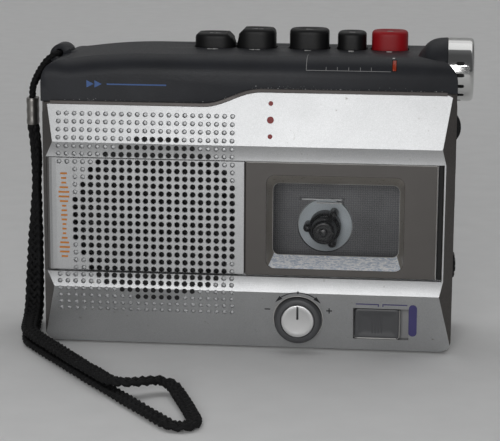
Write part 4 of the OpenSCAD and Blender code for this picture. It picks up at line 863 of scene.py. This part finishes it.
def beside_window(name, plan, material):
    """A bar as high as the window; the plan counts from its right edge and its front."""
    return loft(name, [[metres(high[0] + x, front + y, z) for x, y in plan] for z in (low[2], high[2])], material)


# The notch's black is painted shade, and the bar beside it is painted shade over the lid's right edge.
finger_notch = beside_window("finger_notch", NOTCH_PLAN, painted_hole_shade)
notch_edge_shade = beside_window("notch_edge_shade", EDGE_SHADE_PLAN, brown_painted_shade)
for piece in (finger_notch, notch_edge_shade):
    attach(piece, "lid")
print("finger notch wide mm:", NOTCH_PLAN[-1][0] - NOTCH_PLAN[0][0])

# %% [markdown]
# ## Deck behind the window
# Through the window one sees the dark deck floor with its fine grid, the pale reel disc and the
# black spindle that turns the cassette. The grid is drawn in the finish from object coordinates.
# The spindle is turned like a lathe part, with three round-tipped fingers around its foot.

# %% A finish with a fine grid
def gridded(name, base, line, period):
    material = finish(name, base, 0.5, grain=0.3, bump=0.04, spread=0.05)
    tree = material.node_tree
    shader = tree.nodes["Principled BSDF"]
    place = tree.nodes.new("ShaderNodeTexCoord")
    split = tree.nodes.new("ShaderNodeSeparateXYZ")
    tree.links.new(place.outputs["Object"], split.inputs["Vector"])
    lines = []
    for axis in ("X", "Z"):
        steps = tree.nodes.new("ShaderNodeMath")
        steps.operation = "PINGPONG"
        steps.inputs[1].default_value = period / 2 * MM
        tree.links.new(split.outputs[axis], steps.inputs[0])
        lines.append(steps.outputs["Value"])
    near = tree.nodes.new("ShaderNodeMath")
    near.operation = "MINIMUM"
    for socket, mark in zip(near.inputs, lines):
        tree.links.new(mark, socket)
    ramp = tree.nodes.new("ShaderNodeMapRange")
    ramp.inputs["From Max"].default_value = period / 5 * MM
    tree.links.new(near.outputs["Value"], ramp.inputs["Value"])
    tint = tree.nodes.new("ShaderNodeValToRGB")
    tint.color_ramp.elements[0].color, tint.color_ramp.elements[1].color = (*line, 1), (*base, 1)
    tree.links.new(ramp.outputs["Result"], tint.inputs["Fac"])
    tree.links.new(tint.outputs["Color"], shader.inputs["Base Color"])
    return material


wear(nodes["deck_frame"], gridded("deck_grid", (0.21, 0.21, 0.218), (0.11, 0.111, 0.12), 0.62))


# %% Spindles turned on a lathe
def turned(name, x, z, profile, material, sides=40):
    """Rings around a line along Y through (x, z); the profile lists (radius, y) in mm."""
    rings = [[metres(x + r * math.cos(2 * math.pi * k / sides), y, z + r * math.sin(2 * math.pi * k / sides))
              for k in range(sides)] for r, y in profile]
    return loft(name, rings, material, smooth=True)


def joined(name, pieces):
    """Several meshes as one object."""
    whole = bmesh.new()
    for piece in pieces:
        whole.from_mesh(piece.data)
        bpy.data.objects.remove(piece)
    mesh = bpy.data.meshes.new(name)
    whole.to_mesh(mesh)
    whole.free()
    result = bpy.data.objects.new(name, mesh)
    bpy.context.scene.collection.objects.link(result)
    return result


HUB_Z = 31.0
for reel, x in (("takeup", 17.9), ("supply", -24.6)):
    foot, tip = box_mm(reel + "_spindle")[1][1], box_mm(reel + "_spindle")[0][1] - 0.4
    stem_profile = [(4.3, foot), (4.3, foot - 4.2), (4.1, foot - 4.7), (3.7, foot - 5.1), (3.4, foot - 5.3),
                    (3.2, tip + 1.0), (3.0, tip + 0.3), (2.6, tip), (2.25, tip), (2.1, tip + 0.35),
                    (1.2, tip + 0.35), (1.0, tip - 0.1), (0.4, tip - 0.25)]
    stem = turned("stem", x, HUB_Z, stem_profile, spindle_black)
    finger_profile = [(1.15, foot), (1.15, foot - 4.6), (1.0, foot - 5.2), (0.65, foot - 5.6), (0.15, foot - 5.75)]
    parts = [stem]
    for turn in (58, 178, 298):
        fx, fz = x + 4.5 * math.cos(math.radians(turn)), HUB_Z + 4.5 * math.sin(math.radians(turn))
        parts.append(turned("finger", fx, fz, finger_profile, spindle_black, sides=16))
    spindle = joined(reel + "_hub", parts)
    wear(spindle, spindle_black)
    soft_shade(spindle, 40)
    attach(spindle, reel + "_reel")
    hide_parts(reel + "_spindle")

# %% Leaf spring above the reel
deck_y = box_mm("deck_frame")[1][1] - 1.3
spring_path = [(10.9, 0.0), (11.1, 0.45), (11.6, 0.6), (22.3, 0.6), (22.7, 0.45), (22.9, 0.0)]
leaf_parts = []
leaf_section = [(0, 0), (0.18, 0.05), (0.18, 0.42), (0, 0.47)]
for z, starts in ((37.95, 10.9), (37.0, 15.5)):
    rings = [[metres(max(x, starts), deck_y - lift - t, z + w) for t, w in leaf_section] for x, lift in spring_path]
    leaf_parts.append(loft("leaf", rings, plain_steel))
leaf_spring = joined("leaf_spring", leaf_parts)
wear(leaf_spring, plain_steel)
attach(leaf_spring, "housing")
print("leaf spring stands off the deck by mm:", 0.6)

# %% [markdown]
# ## Keys
# The five keys are moulded caps with round corners, a shallow dish on top and, on the two tape-winding
# keys, a slanted side where they face each other. Each is lofted from superellipses, which
# give the even flow of curvature that a box with bevels lacks.

# %% Lofted key caps
KEY_FRONT, KEY_DEPTH, COVER_TOP = 3.0, 9.0, 78.0
KEYS = {  # middle along X, width, top, slant at the left and at the right
    "fast_forward_key": (-12.85, 10.9, 81.8, 1.0, 2.1),
    "rewind_key": (-1.75, 10.5, 83.1, 2.1, 1.0),
    "play_key": (12.5, 10.6, 83.2, 0.0, 0.0),
    "stop_key": (23.95, 7.7, 82.6, 0.0, 0.0),
    "record_key": (34.05, 9.7, 83.0, 0.0, 0.0),
}


def key_ring(middle, half, top, slants, inset, z, sides=56, power=3.0):
    ring = []
    for k in range(sides):
        turn = 2 * math.pi * k / sides
        c, s = math.cos(turn), math.sin(turn)
        size = (abs(c) ** power + abs(s) ** power) ** (-1 / power)
        x = max(half - inset, 0.05) * size * c
        y = max(KEY_DEPTH / 2 - inset, 0.05) * size * s
        left, right = (max(0, z - (top - slant)) if slant else 0 for slant in slants)
        x = min(max(x, -half + left), half - right)
        ring.append(metres(middle + x, KEY_FRONT + KEY_DEPTH / 2 + y, z))
    return ring


for node, (middle, width, top, slant_left, slant_right) in KEYS.items():
    levels = [(0, COVER_TOP - 2.2), (0, COVER_TOP + 1), (0, top - 1.4)]
    levels += [(1.0 - math.cos(a), top - 1.0 + math.sin(a)) for a in (math.radians(15 * i) for i in range(1, 7))]
    levels += [(1.5, top - 0.03), (2.1, top - 0.16), (2.8, top - 0.28), (3.4, top - 0.34)]
    rings = [key_ring(middle, width / 2, top, (slant_left, slant_right), inset, z) for inset, z in levels]
    material = key_red if node == "record_key" else key_black
    cap = loft(node + "_cap", rings, material)
    soft_shade(cap, 32)
    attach(cap, node)
    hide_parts(node)
print("key caps:", list(KEYS))

# %% [markdown]
# ## Top cover
# The charcoal cover falls away in a gentle curve towards the strap end. The solid has a straight
# top, so a copy of it is cut into narrow slices and its upper part lowered by a parabola. Slicing
# first matters: a long flat face has no vertices in the middle that could follow the curve.

# %% A copy of the cover with a falling end
CROWN_FROM, CROWN_TO, CROWN_RADIUS = -28.0, -50.0, 140.0
LUG = (-54.3, 75.3, 3.15, 1.95, 8.05)
CORNER, SQUARENESS = (-48.2, 70.0), 3.2


def crown_drop(x, z):
    if x > CROWN_FROM:
        return 0
    share = min(max((z - 66) / 9, 0), 1)
    return (CROWN_FROM - max(x, CROWN_TO)) ** 2 / (2 * CROWN_RADIUS) * share * share * (3 - 2 * share)


def in_lug(p):
    return math.hypot(p.x / MM - LUG[0], p.z / MM - LUG[1]) < LUG[2] and LUG[3] < p.y / MM < LUG[4]


def squarer(x, z):
    """The round upper corner pushed out, from a circle towards a square."""
    across, up = CORNER[0] - x, z - CORNER[1]
    if across <= 0 or up <= 0:
        return x, z
    reach = math.hypot(across, up)
    grow = ((across / reach) ** SQUARENESS + (up / reach) ** SQUARENESS) ** (-1 / SQUARENESS)
    return CORNER[0] - across * grow, CORNER[1] + up * grow


skin = copied("top_cover")
sharp = [e for e in skin.edges if len(e.link_faces) == 2 and e.calc_face_angle() > math.radians(28)]
bmesh.ops.bevel(skin, geom=sharp, offset=0.2 * MM, segments=2, profile=0.5, affect="EDGES", clamp_overlap=True)
planes = [((x, 0, 0), (1, 0, 0)) for x in range(-56, -27, 2)]
planes += [((0, y, 0), (0, 1, 0)) for y in (1.5, 8.5)] + [((0, 0, z), (0, 0, 1)) for z in (66, 69, 72)]
sliced(skin, planes)
for vertex in skin.verts:
    if not in_lug(vertex.co):
        x, z = squarer(vertex.co.x / MM, vertex.co.z / MM)
        vertex.co.x, vertex.co.z = x * MM, (z - crown_drop(x, z)) * MM
key_cover = stand_in("key_cover", skin, charcoal, "top_cover", "housing")
soft_shade(key_cover, 30)
root_rings = []
for y, radius in ((1.5, 1.2), (1.6, 2.0), (2.0, 2.5), (2.8, 2.7), (7.2, 2.7), (8.0, 2.5), (8.4, 2.0), (8.5, 1.2)):
    root_rings.append([metres(-51.5 + 1.25 * radius * math.cos(a), y, 73.8 + radius * math.sin(a))
                       for a in (2 * math.pi * k / 40 for k in range(40))])
lug_root = loft("lug_root", root_rings, charcoal)
soft_shade(lug_root, 45)
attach(lug_root, "housing")
print("cover drop at the strap end mm:", round(crown_drop(-50, 77), 2))

# %% [markdown]
# ## Printed marks
# The lid and the cover carry thin printed lines: an arc with two arrows over the knob, brackets over
# the slide switch, a scale on the shoulder and small signs by the keys. Each is a flat shape laid
# a hair above the surface that it is printed on, so it follows slopes and shoulders.

# %% Flat shapes on a sloped surface
def on_lid(u, v):
    return metres(u, lid_front(v) - 0.03, v)


SHOULDER_RADIUS = 5.0


def on_cover(u, v):
    """v runs forward from the keys' fronts: over the top, round the shoulder, down the front."""
    flat = KEY_FRONT - COVER_FRONT - SHOULDER_RADIUS
    turn = min(max((v - flat) / SHOULDER_RADIUS, 0), math.pi / 2)
    down = max(v - flat - SHOULDER_RADIUS * math.pi / 2, 0)
    reach = SHOULDER_RADIUS + 0.03
    y = KEY_FRONT - min(v, flat) - reach * math.sin(turn)
    z = COVER_TOP - SHOULDER_RADIUS + reach * math.cos(turn) - down
    return metres(u, y, z)


def stroke(points, width):
    """Left and right edges of a line of even width through points in the surface's own plane."""
    shape = []
    for i, p in enumerate(points):
        a, b = Vector(points[max(i - 1, 0)]), Vector(points[min(i + 1, len(points) - 1)])
        along = (b - a).normalized()
        side = Vector((-along.y, along.x)) * width / 2
        shape.append((Vector(p) + side, Vector(p) - side))
    return shape


def printed(name, surface, strokes, fills, material, body):
    """One mesh of strokes and filled outlines on a surface."""
    vertices, faces = [], []
    for shape in strokes:
        for left, right in shape:
            vertices += [surface(*left), surface(*right)]
        first = len(vertices) - 2 * len(shape)
        corners = (first + 2 * i for i in range(len(shape) - 1))
        faces += [(a, a + 1, a + 3, a + 2) for a in corners]
    for outline in fills:
        first = len(vertices)
        vertices += [surface(*p) for p in outline]
        faces.append(tuple(range(first, len(vertices))))
    piece = new_piece(name, vertices, faces, material)
    ink = piece.modifiers.new("ink", "SOLIDIFY")
    ink.thickness, ink.offset = 0.06 * MM, 0
    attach(piece, body)
    return piece


def fine_line(a, b, steps=12):
    return [tuple(Vector(a).lerp(Vector(b), i / steps)) for i in range(steps + 1)]


def arc_points(cx, cz, radius, start, stop, steps=24):
    return [(cx + radius * math.cos(math.radians(start + (stop - start) * i / steps)),
             cz + radius * math.sin(math.radians(start + (stop - start) * i / steps))) for i in range(steps + 1)]


# %% Marks around the knob and the slide switch
KNOB = (12.0, 9.0)
SWEEP = 7.6
arrows = []
for side in (-1, 1):
    tip = (KNOB[0] + side * SWEEP * math.sin(math.radians(52)), KNOB[1] + SWEEP * math.cos(math.radians(52)))
    back_at = (KNOB[0] + side * SWEEP * math.sin(math.radians(36)), KNOB[1] + SWEEP * math.cos(math.radians(36)))
    along = (Vector(tip) - Vector(back_at)).normalized()
    across = Vector((-along.y, along.x)) * 0.55
    arrows.append([tip, tuple(Vector(back_at) + across), tuple(Vector(back_at) - across)])
knob_arc = printed("knob_arc", on_lid, [stroke(arc_points(*KNOB, SWEEP, 138, 42), 0.26)],
                   arrows + [arc_points(KNOB[0], KNOB[1] + SWEEP, 0.36, 0, 345, 16)], print_ink, "lid")
brackets = printed("switch_brackets", on_lid, [
    stroke([(27.2, 13.9), (33.0, 13.9)], 0.27), stroke([(33.1, 14.03), (33.1, 13.25)], 0.27),
    stroke([(34.4, 13.9), (40.7, 13.9)], 0.27), stroke([(34.3, 14.03), (34.3, 13.25)], 0.27)],
    [], print_violet, "lid")
pill_middle = 42.15
pill = printed("switch_pill", on_lid, [], [arc_points(pill_middle, 12.95, 1.08, 0, 180, 12) + arc_points(
    pill_middle, 5.9, 1.08, 180, 360, 12)], print_violet, "lid")
print("marks on the lid:", 3)

# %% Scale and signs on the cover
SCALE_LINE = 20.4
scale_strokes = [stroke(fine_line((13.3, SCALE_LINE), (35.0, SCALE_LINE)), 0.13),
                 stroke(fine_line((13.3, 11.5), (13.3, SCALE_LINE)), 0.13)]
TICKS = (18.4, 21.3, 24.2, 27.2, 30.0)
scale_strokes += [stroke(fine_line((x, SCALE_LINE - 1.0), (x, SCALE_LINE), 3), 0.13) for x in TICKS]
battery_scale = printed("battery_scale", on_cover, scale_strokes, [], print_grey, "housing")


def triangle(u, v, size):
    return [(u - size, v - size), (u + size, v), (u - size, v + size)]


signs = []
for middle, kind in ((-12.85, "forward"), (-1.75, "back"), (12.5, "play"), (23.95, "stop"), (34.05, "record")):
    v = 2.6
    if kind == "forward":
        signs += [triangle(middle - 0.8, v, 0.7), triangle(middle + 0.7, v, 0.7)]
    elif kind == "back":
        signs += [[(2 * middle - u, w) for u, w in triangle(middle + shift, v, 0.7)] for shift in (-0.8, 0.7)]
    elif kind == "play":
        signs.append(triangle(middle, v, 0.8))
    elif kind == "stop":
        signs.append([(middle + 0.7 * a, v + 0.7 * b) for a, b in ((-1, -1), (1, -1), (1, 1), (-1, 1))])
    else:
        signs.append(arc_points(middle, v, 0.8, 0, 345, 16))
signs.append(arc_points(35.6, 15.5, 0.35, 0, 345, 12))
key_signs = printed("key_signs", on_cover, [], signs, print_white, "housing")
print("signs on the cover:", len(signs))

# %% [markdown]
# ## Speed knob
# The knob is a grey moulding with a pale spun disc let into its face and a dark pointer. All three
# are round about one axis, so a lathe profile each does it; the disc is faintly hollow, as spun
# sheet is. A slim raised ring marks the well that the knob turns in; its pale colour is a painted highlight on the
# well's rim.

# %% Turned knob, disc, pointer and the well's rim with a painted highlight
knob_front = box_mm("speed_knob")[0][1] - 0.9
knob_back = box_mm("speed_knob")[1][1]
knob_body = turned("knob_body", *KNOB, [
    (6.1, knob_back), (6.25, knob_front + 2.2), (6.2, knob_front + 0.9), (6.05, knob_front + 0.4),
    (5.75, knob_front + 0.08), (5.4, knob_front), (4.6, knob_front), (4.45, knob_front + 0.12),
    (4.4, knob_front + 0.5), (0.3, knob_front + 0.5)], knob_grey, 72)
knob_disc = turned("knob_disc", *KNOB, [
    (4.3, knob_front + 0.45), (4.3, knob_front - 0.1), (4.2, knob_front - 0.22), (4.0, knob_front - 0.26),
    (3.2, knob_front - 0.2), (2.0, knob_front - 0.15), (0.4, knob_front - 0.12)], spun_silver, 72)
pointer_rings = [rounded_rectangle(KNOB[0] - 0.28 + inset, KNOB[0] + 0.28 - inset,
                                   KNOB[1] + 0.5 + inset, KNOB[1] + 4.1 - inset, 0.12, y, steps=3)
                 for inset, y in ((0, knob_front), (0, knob_front - 0.24), (0.06, knob_front - 0.28))]
pointer = loft("knob_pointer", pointer_rings, print_ink)
for piece, name in ((knob_body, "knob_grey"), (knob_disc, "bright_cap"), (pointer, "knob_grey")):
    soft_shade(piece, 35)
    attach(piece, "speed_knob")
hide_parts("speed_knob")
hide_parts("knob_cap")
# A slim raised ring on the well's rim, pale as a painted highlight.
well_rim_rings = []
for radius, lift in ((6.42, -0.2), (6.46, 0.04), (6.54, 0.1), (6.64, 0.04), (6.68, -0.2)):
    well_rim_rings.append([metres(KNOB[0] + radius * math.cos(a), lid_front(KNOB[1] + radius * math.sin(a)) - lift,
                                KNOB[1] + radius * math.sin(a)) for a in (2 * math.pi * k / 72 for k in range(72))])
well_rim_highlight = loft("well_rim_highlight", well_rim_rings, painted_edge_highlight, closed=True)
soft_shade(well_rim_highlight, 50)
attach(well_rim_highlight, "lid")
print("knob stands out mm:", round(lid_front(KNOB[1]) - knob_front, 1))

# %% [markdown]
# ## Slide switch
# The switch's button is a flat moulding with round corners and a shallow thumb hollow. Its lower
# edge catches the light, so the loft has a wide soft edge there, and the faces along its lower and right
# edges carry a painted highlight; a few fine ribs stop a thumb from slipping, each one a rounded bar laid in the
# hollow.

# %% Button with ribs
low, high = box_mm("mode_slider")
button_rings = []
for inset, y in ((0, high[1]), (0, low[1] + 0.55), (0.06, low[1] + 0.28), (0.2, low[1] + 0.09), (0.42, low[1]),
                 (0.9, low[1]), (1.5, low[1] + 0.1), (2.4, low[1] + 0.16)):
    button_rings.append(rounded_rectangle(low[0] + inset, high[0] - inset, low[2] + inset, high[2] - inset,
                                          max(0.9 - inset * 0.3, 0.3), y))
button = loft("mode_button", button_rings, knob_grey)
rib_parts = [button]
for i in range(4):
    x = (low[0] + high[0]) / 2 - 1.2 + 0.8 * i
    rib_rings = [rounded_rectangle(x - 0.16 + inset, x + 0.16 - inset, low[2] + 1.6 + inset, high[2] - 1.6 - inset,
                                   0.08, y, steps=2)
                 for inset, y in ((0, low[1] + 0.3), (0, low[1] + 0.1), (0.06, low[1] + 0.04))]
    rib_parts.append(loft("rib", rib_rings, knob_grey))
mode_button = joined("mode_button_ribbed", rib_parts)
wear(mode_button, knob_grey)
mode_button.data.materials.append(painted_edge_highlight)
soft_shade(mode_button, 35)
# Faces at the lower and right edges take the pale finish: a painted highlight.
lowest, rightmost = (low[2] + 0.35) * MM, (high[0] - 0.3) * MM
for face in mode_button.data.polygons:
    at_foot = face.normal.z < -0.3 and face.center.z < lowest
    at_right = face.normal.x > 0.6 and face.center.x > rightmost
    if face.normal.y < -0.2 and (at_foot or at_right):
        face.material_index = 1
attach(mode_button, "mode_slider")
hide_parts("mode_slider")
print("button mm:", round(high[0] - low[0], 1), "by", round(high[2] - low[2], 1))

# %% [markdown]
# ## Microphone cap
# The chrome cap closes the end of the microphone pod. It is turned with a round shoulder, and a
# boolean cuts four rounded slots in the side that faces the speaker, for the sound.

# %% Turned cap with slots
cap_low, cap_high = box_mm("mic_cap")
cap_y, cap_z = -6.0, (cap_low[2] + cap_high[2]) / 2
cap_radius = (cap_high[2] - cap_low[2]) / 2
cap_left, cap_right = cap_low[0], cap_high[0]


def around_x(x, radius, sides=96):
    turns = (2 * math.pi * k / sides for k in range(sides))
    return [metres(x, cap_y + radius * math.cos(a), cap_z + radius * math.sin(a)) for a in turns]


cap_profile = [(cap_left, cap_radius - 0.15), (cap_left + 0.12, cap_radius), (cap_right - 1.1, cap_radius)]
cap_profile += [(cap_right - 1.1 + 1.1 * math.sin(a), cap_radius - 1.1 + 1.1 * math.cos(a))
                for a in (math.radians(15 * i) for i in range(1, 7))]
cap_profile += [(cap_right, cap_radius - 2.4), (cap_right - 0.3, cap_radius - 2.7), (cap_right - 0.3, 0.3)]
mic_shell = loft("mic_shell", [around_x(x, r) for x, r in cap_profile], chrome)
slot_vertices, slot_faces = [], []
for angle in (17, -4, -25, -46):
    turn = math.radians(angle)
    out = Vector((0, -math.cos(turn), math.sin(turn)))
    up = Vector((0, math.sin(turn), math.cos(turn)))
    for reach in (cap_radius - 0.7, cap_radius + 0.5):
        for k in range(24):
            a = 2 * math.pi * k / 24
            wide = math.copysign(abs(math.cos(a)) ** 0.6, math.cos(a)) * 1.05
            tall = math.copysign(abs(math.sin(a)) ** 0.6, math.sin(a)) * 0.5
            slot_vertices.append(metres(cap_left + 3.3 + wide, cap_y, cap_z) + (out * reach + up * tall) * MM)
    first = len(slot_vertices) - 48
    slot_faces += [(first + k, first + (k + 1) % 24, first + 24 + (k + 1) % 24, first + 24 + k) for k in range(24)]
    slot_faces += [tuple(first + k for k in reversed(range(24))), tuple(first + 24 + k for k in range(24))]
# The slot walls take the painted hole shade.
mic_slots = new_piece("mic_slots", slot_vertices, slot_faces, painted_hole_shade)
tidy = bmesh.new()
tidy.from_mesh(mic_slots.data)
bmesh.ops.recalc_face_normals(tidy, faces=tidy.faces)
tidy.to_mesh(mic_slots.data)
tidy.free()
soft_shade(mic_shell, 40)
cut_with(mic_shell, mic_slots)
dome_reach = 7.2
dome_profile = [(cap_left - dome_reach * s, (cap_radius - 0.02) * (1 - s ** 2.7) ** (1 / 2.7))
                for s in (0.0, 0.12, 0.25, 0.38, 0.5, 0.62, 0.74, 0.85, 0.93, 0.98)]
pod_dome = loft("pod_dome", [around_x(x, r) for x, r in dome_profile], charcoal)
soft_shade(pod_dome, 40)
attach(pod_dome, "housing")
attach(mic_shell, "housing")
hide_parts("mic_cap")
print("cap diameter mm:", round(2 * cap_radius, 1))

# %% [markdown]
# ## Small prints and wear
# The lid carries coloured marks: bars like a sound wave, dots, arrows, a minus and a plus. The
# cover's lower edge is chipped from use, so tiny pale specks are scattered along it by a fixed
# rule, which gives the same specks on every run.

# %% Coloured marks
bars = []
for i in range(19):
    z = 24.4 + 1.24 * i
    reach = 0.45 + 1.05 * abs(math.sin(0.55 * i + 0.4) * math.cos(0.23 * i))
    bars.append(stroke([(-50.1 - reach, z), (-50.1 + reach, z)], 0.5))
sound_bars = printed("sound_bars", on_lid, bars, [], print_orange, "lid")
DOTS = ((66.2, 0.62), (62.0, 0.9), (57.8, 0.62))
voice_dots = printed("voice_dots", on_lid, [], [arc_points(4.3, z, r, 0, 345, 20) for z, r in DOTS], print_red, "lid")
sign_left, sign_right, sign_z = 3.9, 20.2, 11.6
sign_strokes = [stroke([(x - 0.75, sign_z), (x + 0.75, sign_z)], 0.3) for x in (sign_left, sign_right)]
sign_strokes.append(stroke([(sign_right, sign_z - 0.75), (sign_right, sign_z + 0.75)], 0.3))
turn_signs = printed("turn_signs", on_lid, sign_strokes, [], print_ink, "lid")
wind_mark = printed("wind_mark", on_cover, [stroke(fine_line((-38.6, 25.0), (-23.0, 25.0)), 0.35)],
                    [triangle(-43.0, 25.0, 0.95), triangle(-40.9, 25.0, 0.95)], print_blue, "housing")
print("marks:", 4)

# %% Specks along the cover's edge
specks = []
for i in range(110):
    a, b, c = (math.modf(abs(math.sin(12.9898 * (i + 1) + k * 78.233) * 43758.5453))[0] for k in range(3))
    x = LEFT_END + 6 + a * (RIGHT_END - LEFT_END - 10)
    x = x if c > 0.4 else RIGHT_END - 5 - 0.45 * (x - LEFT_END)
    z = upper_edge(x) + 0.98 + 1.1 * b ** 6
    size = 0.04 + 0.09 * c ** 4
    flat = KEY_FRONT - COVER_FRONT - SHOULDER_RADIUS + SHOULDER_RADIUS * math.pi / 2
    v = flat + COVER_TOP - SHOULDER_RADIUS - z
    turns = (math.radians(60 * k) for k in range(6))
    specks.append([(x + 1.6 * size * math.cos(t), v + size * math.sin(t)) for t in turns])
edge_wear = printed("edge_wear", on_cover, [], specks, print_grey, "housing")
print("specks:", len(specks))

# %% Signs on the key tops
for node, (middle, width, top, slant_left, slant_right) in KEYS.items():
    def on_key(u, v, level=top - 0.3):
        return metres(u, KEY_FRONT + KEY_DEPTH / 2 + v, level)
    shapes = {"fast_forward_key": [triangle(middle - 0.9, 0, 0.8), triangle(middle + 0.7, 0, 0.8)],
              "rewind_key": [[(2 * middle - u, v) for u, v in triangle(middle + s, 0, 0.8)] for s in (-0.9, 0.7)],
              "play_key": [triangle(middle, 0, 1.0)],
              "stop_key": [[(middle - 0.8, -0.8), (middle + 0.8, -0.8), (middle + 0.8, 0.8), (middle - 0.8, 0.8)]],
              "record_key": [arc_points(middle, 0, 0.9, 0, 345, 20)]}[node]
    sign = printed(node + "_sign", on_key, [], shapes, print_grey, node)
print("key signs:", len(KEYS))

# %% [markdown]
# ## Back
# Three screws hold the cover on from behind and the battery lid slides off sideways. Each screw
# head gets a flat black cross, painted shade for its cross-shaped recess, and the lid an arrow, both laid on the
# faces as thin shapes.

# %% Screw recesses and the sliding arrow
screw_back = box_mm("case_screws")[1][1]
lid_back = box_mm("battery_cover")[1][1]


def on_screws(u, v):
    return metres(u, screw_back + 0.02, v)


def on_battery_lid(u, v):
    return metres(u, lid_back + 0.02, v)


crosses = []
for x in (-44.2, 6.0, 40.2):
    crosses += [stroke([(x - 0.95, 68), (x + 0.95, 68)], 0.42), stroke([(x, 67.05), (x, 68.95)], 0.42)]
screw_cross_shade = printed("screw_cross_shade", on_screws, crosses, [], painted_hole_shade, "housing")
battery_low, battery_high = box_mm("battery_cover")
arrow_x, arrow_z = battery_low[0] + 20, (battery_low[2] + battery_high[2]) / 2
slide_arrow = printed("slide_arrow", on_battery_lid, [stroke([(arrow_x + 6, arrow_z), (arrow_x, arrow_z)], 0.5)],
                      [[(arrow_x + 0.2, arrow_z - 1.1), (arrow_x - 2, arrow_z), (arrow_x + 0.2, arrow_z + 1.1)]],
                      print_grey, "battery_cover")
print("screw heads:", 3)

# %% Lip that closes the slot at the lid's end
BACK_ROUND = 3.0
LIP_ENDS = ((0.1, 2.2), (0, 2.35), (0, 31.5), (0.1, 31.65))
lip_plan = []
for y in (16.5, 16.8, 17.1, 17.4, 17.65):
    into_round = y - (lid_back - BACK_ROUND)
    lip_plan.append((LEFT_END + 0.04 + BACK_ROUND - math.sqrt(BACK_ROUND ** 2 - into_round ** 2), y))
lip_plan += [(LEFT_END + 1.4, 17.65), (LEFT_END + 1.4, 16.5)]
battery_lip = loft("battery_lip", [[metres(x + inset, y, z) for x, y in lip_plan]
                                   for inset, z in LIP_ENDS], shell_black)
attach(battery_lip, "battery_cover")
print("lip high mm:", LIP_ENDS[-1][1] - LIP_ENDS[0][1])

# %% [markdown]
# ## Sleeve of the strap
# A short metal sleeve is crimped over the strap's ends. Its section is an oval and two presses of
# the tool left shallow waists, so it is lofted from ovals whose size changes with height.

# %% Crimped sleeve
sleeve_low, sleeve_high = box_mm("strap_ferrule")
middle_x, middle_y = (sleeve_low[0] + sleeve_high[0]) / 2, (sleeve_low[1] + sleeve_high[1]) / 2
half_x, half_y = (sleeve_high[0] - sleeve_low[0]) / 2, (sleeve_high[1] - sleeve_low[1]) / 2
sleeve_rings = []
CRIMP = [(0.0, -0.35), (0.0, 0.0), (0.06, 0.1), (0.16, 0.1), (0.26, 0.02), (0.36, 0.02), (0.46, 0.08), (0.56, 0.08),
         (0.66, 0.02), (0.76, 0.02), (0.86, 0.1), (0.94, 0.1), (1.0, 0.0), (1.0, -0.35)]
for share, grow in CRIMP:
    z = sleeve_low[2] + (sleeve_high[2] - sleeve_low[2]) * share
    ring = []
    for k in range(40):
        turn = 2 * math.pi * k / 40
        c, s = math.cos(turn), math.sin(turn)
        size = (abs(c) ** 2.6 + abs(s) ** 2.6) ** (-1 / 2.6)
        ring.append(metres(middle_x + (half_x + grow) * size * c, middle_y + (half_y + grow) * size * s, z))
    sleeve_rings.append(ring)
sleeve = loft("strap_sleeve", sleeve_rings, ferrule_grey)
soft_shade(sleeve, 40)
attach(sleeve, "housing")
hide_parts("strap_ferrule")
print("sleeve high mm:", round(sleeve_high[2] - sleeve_low[2], 1))
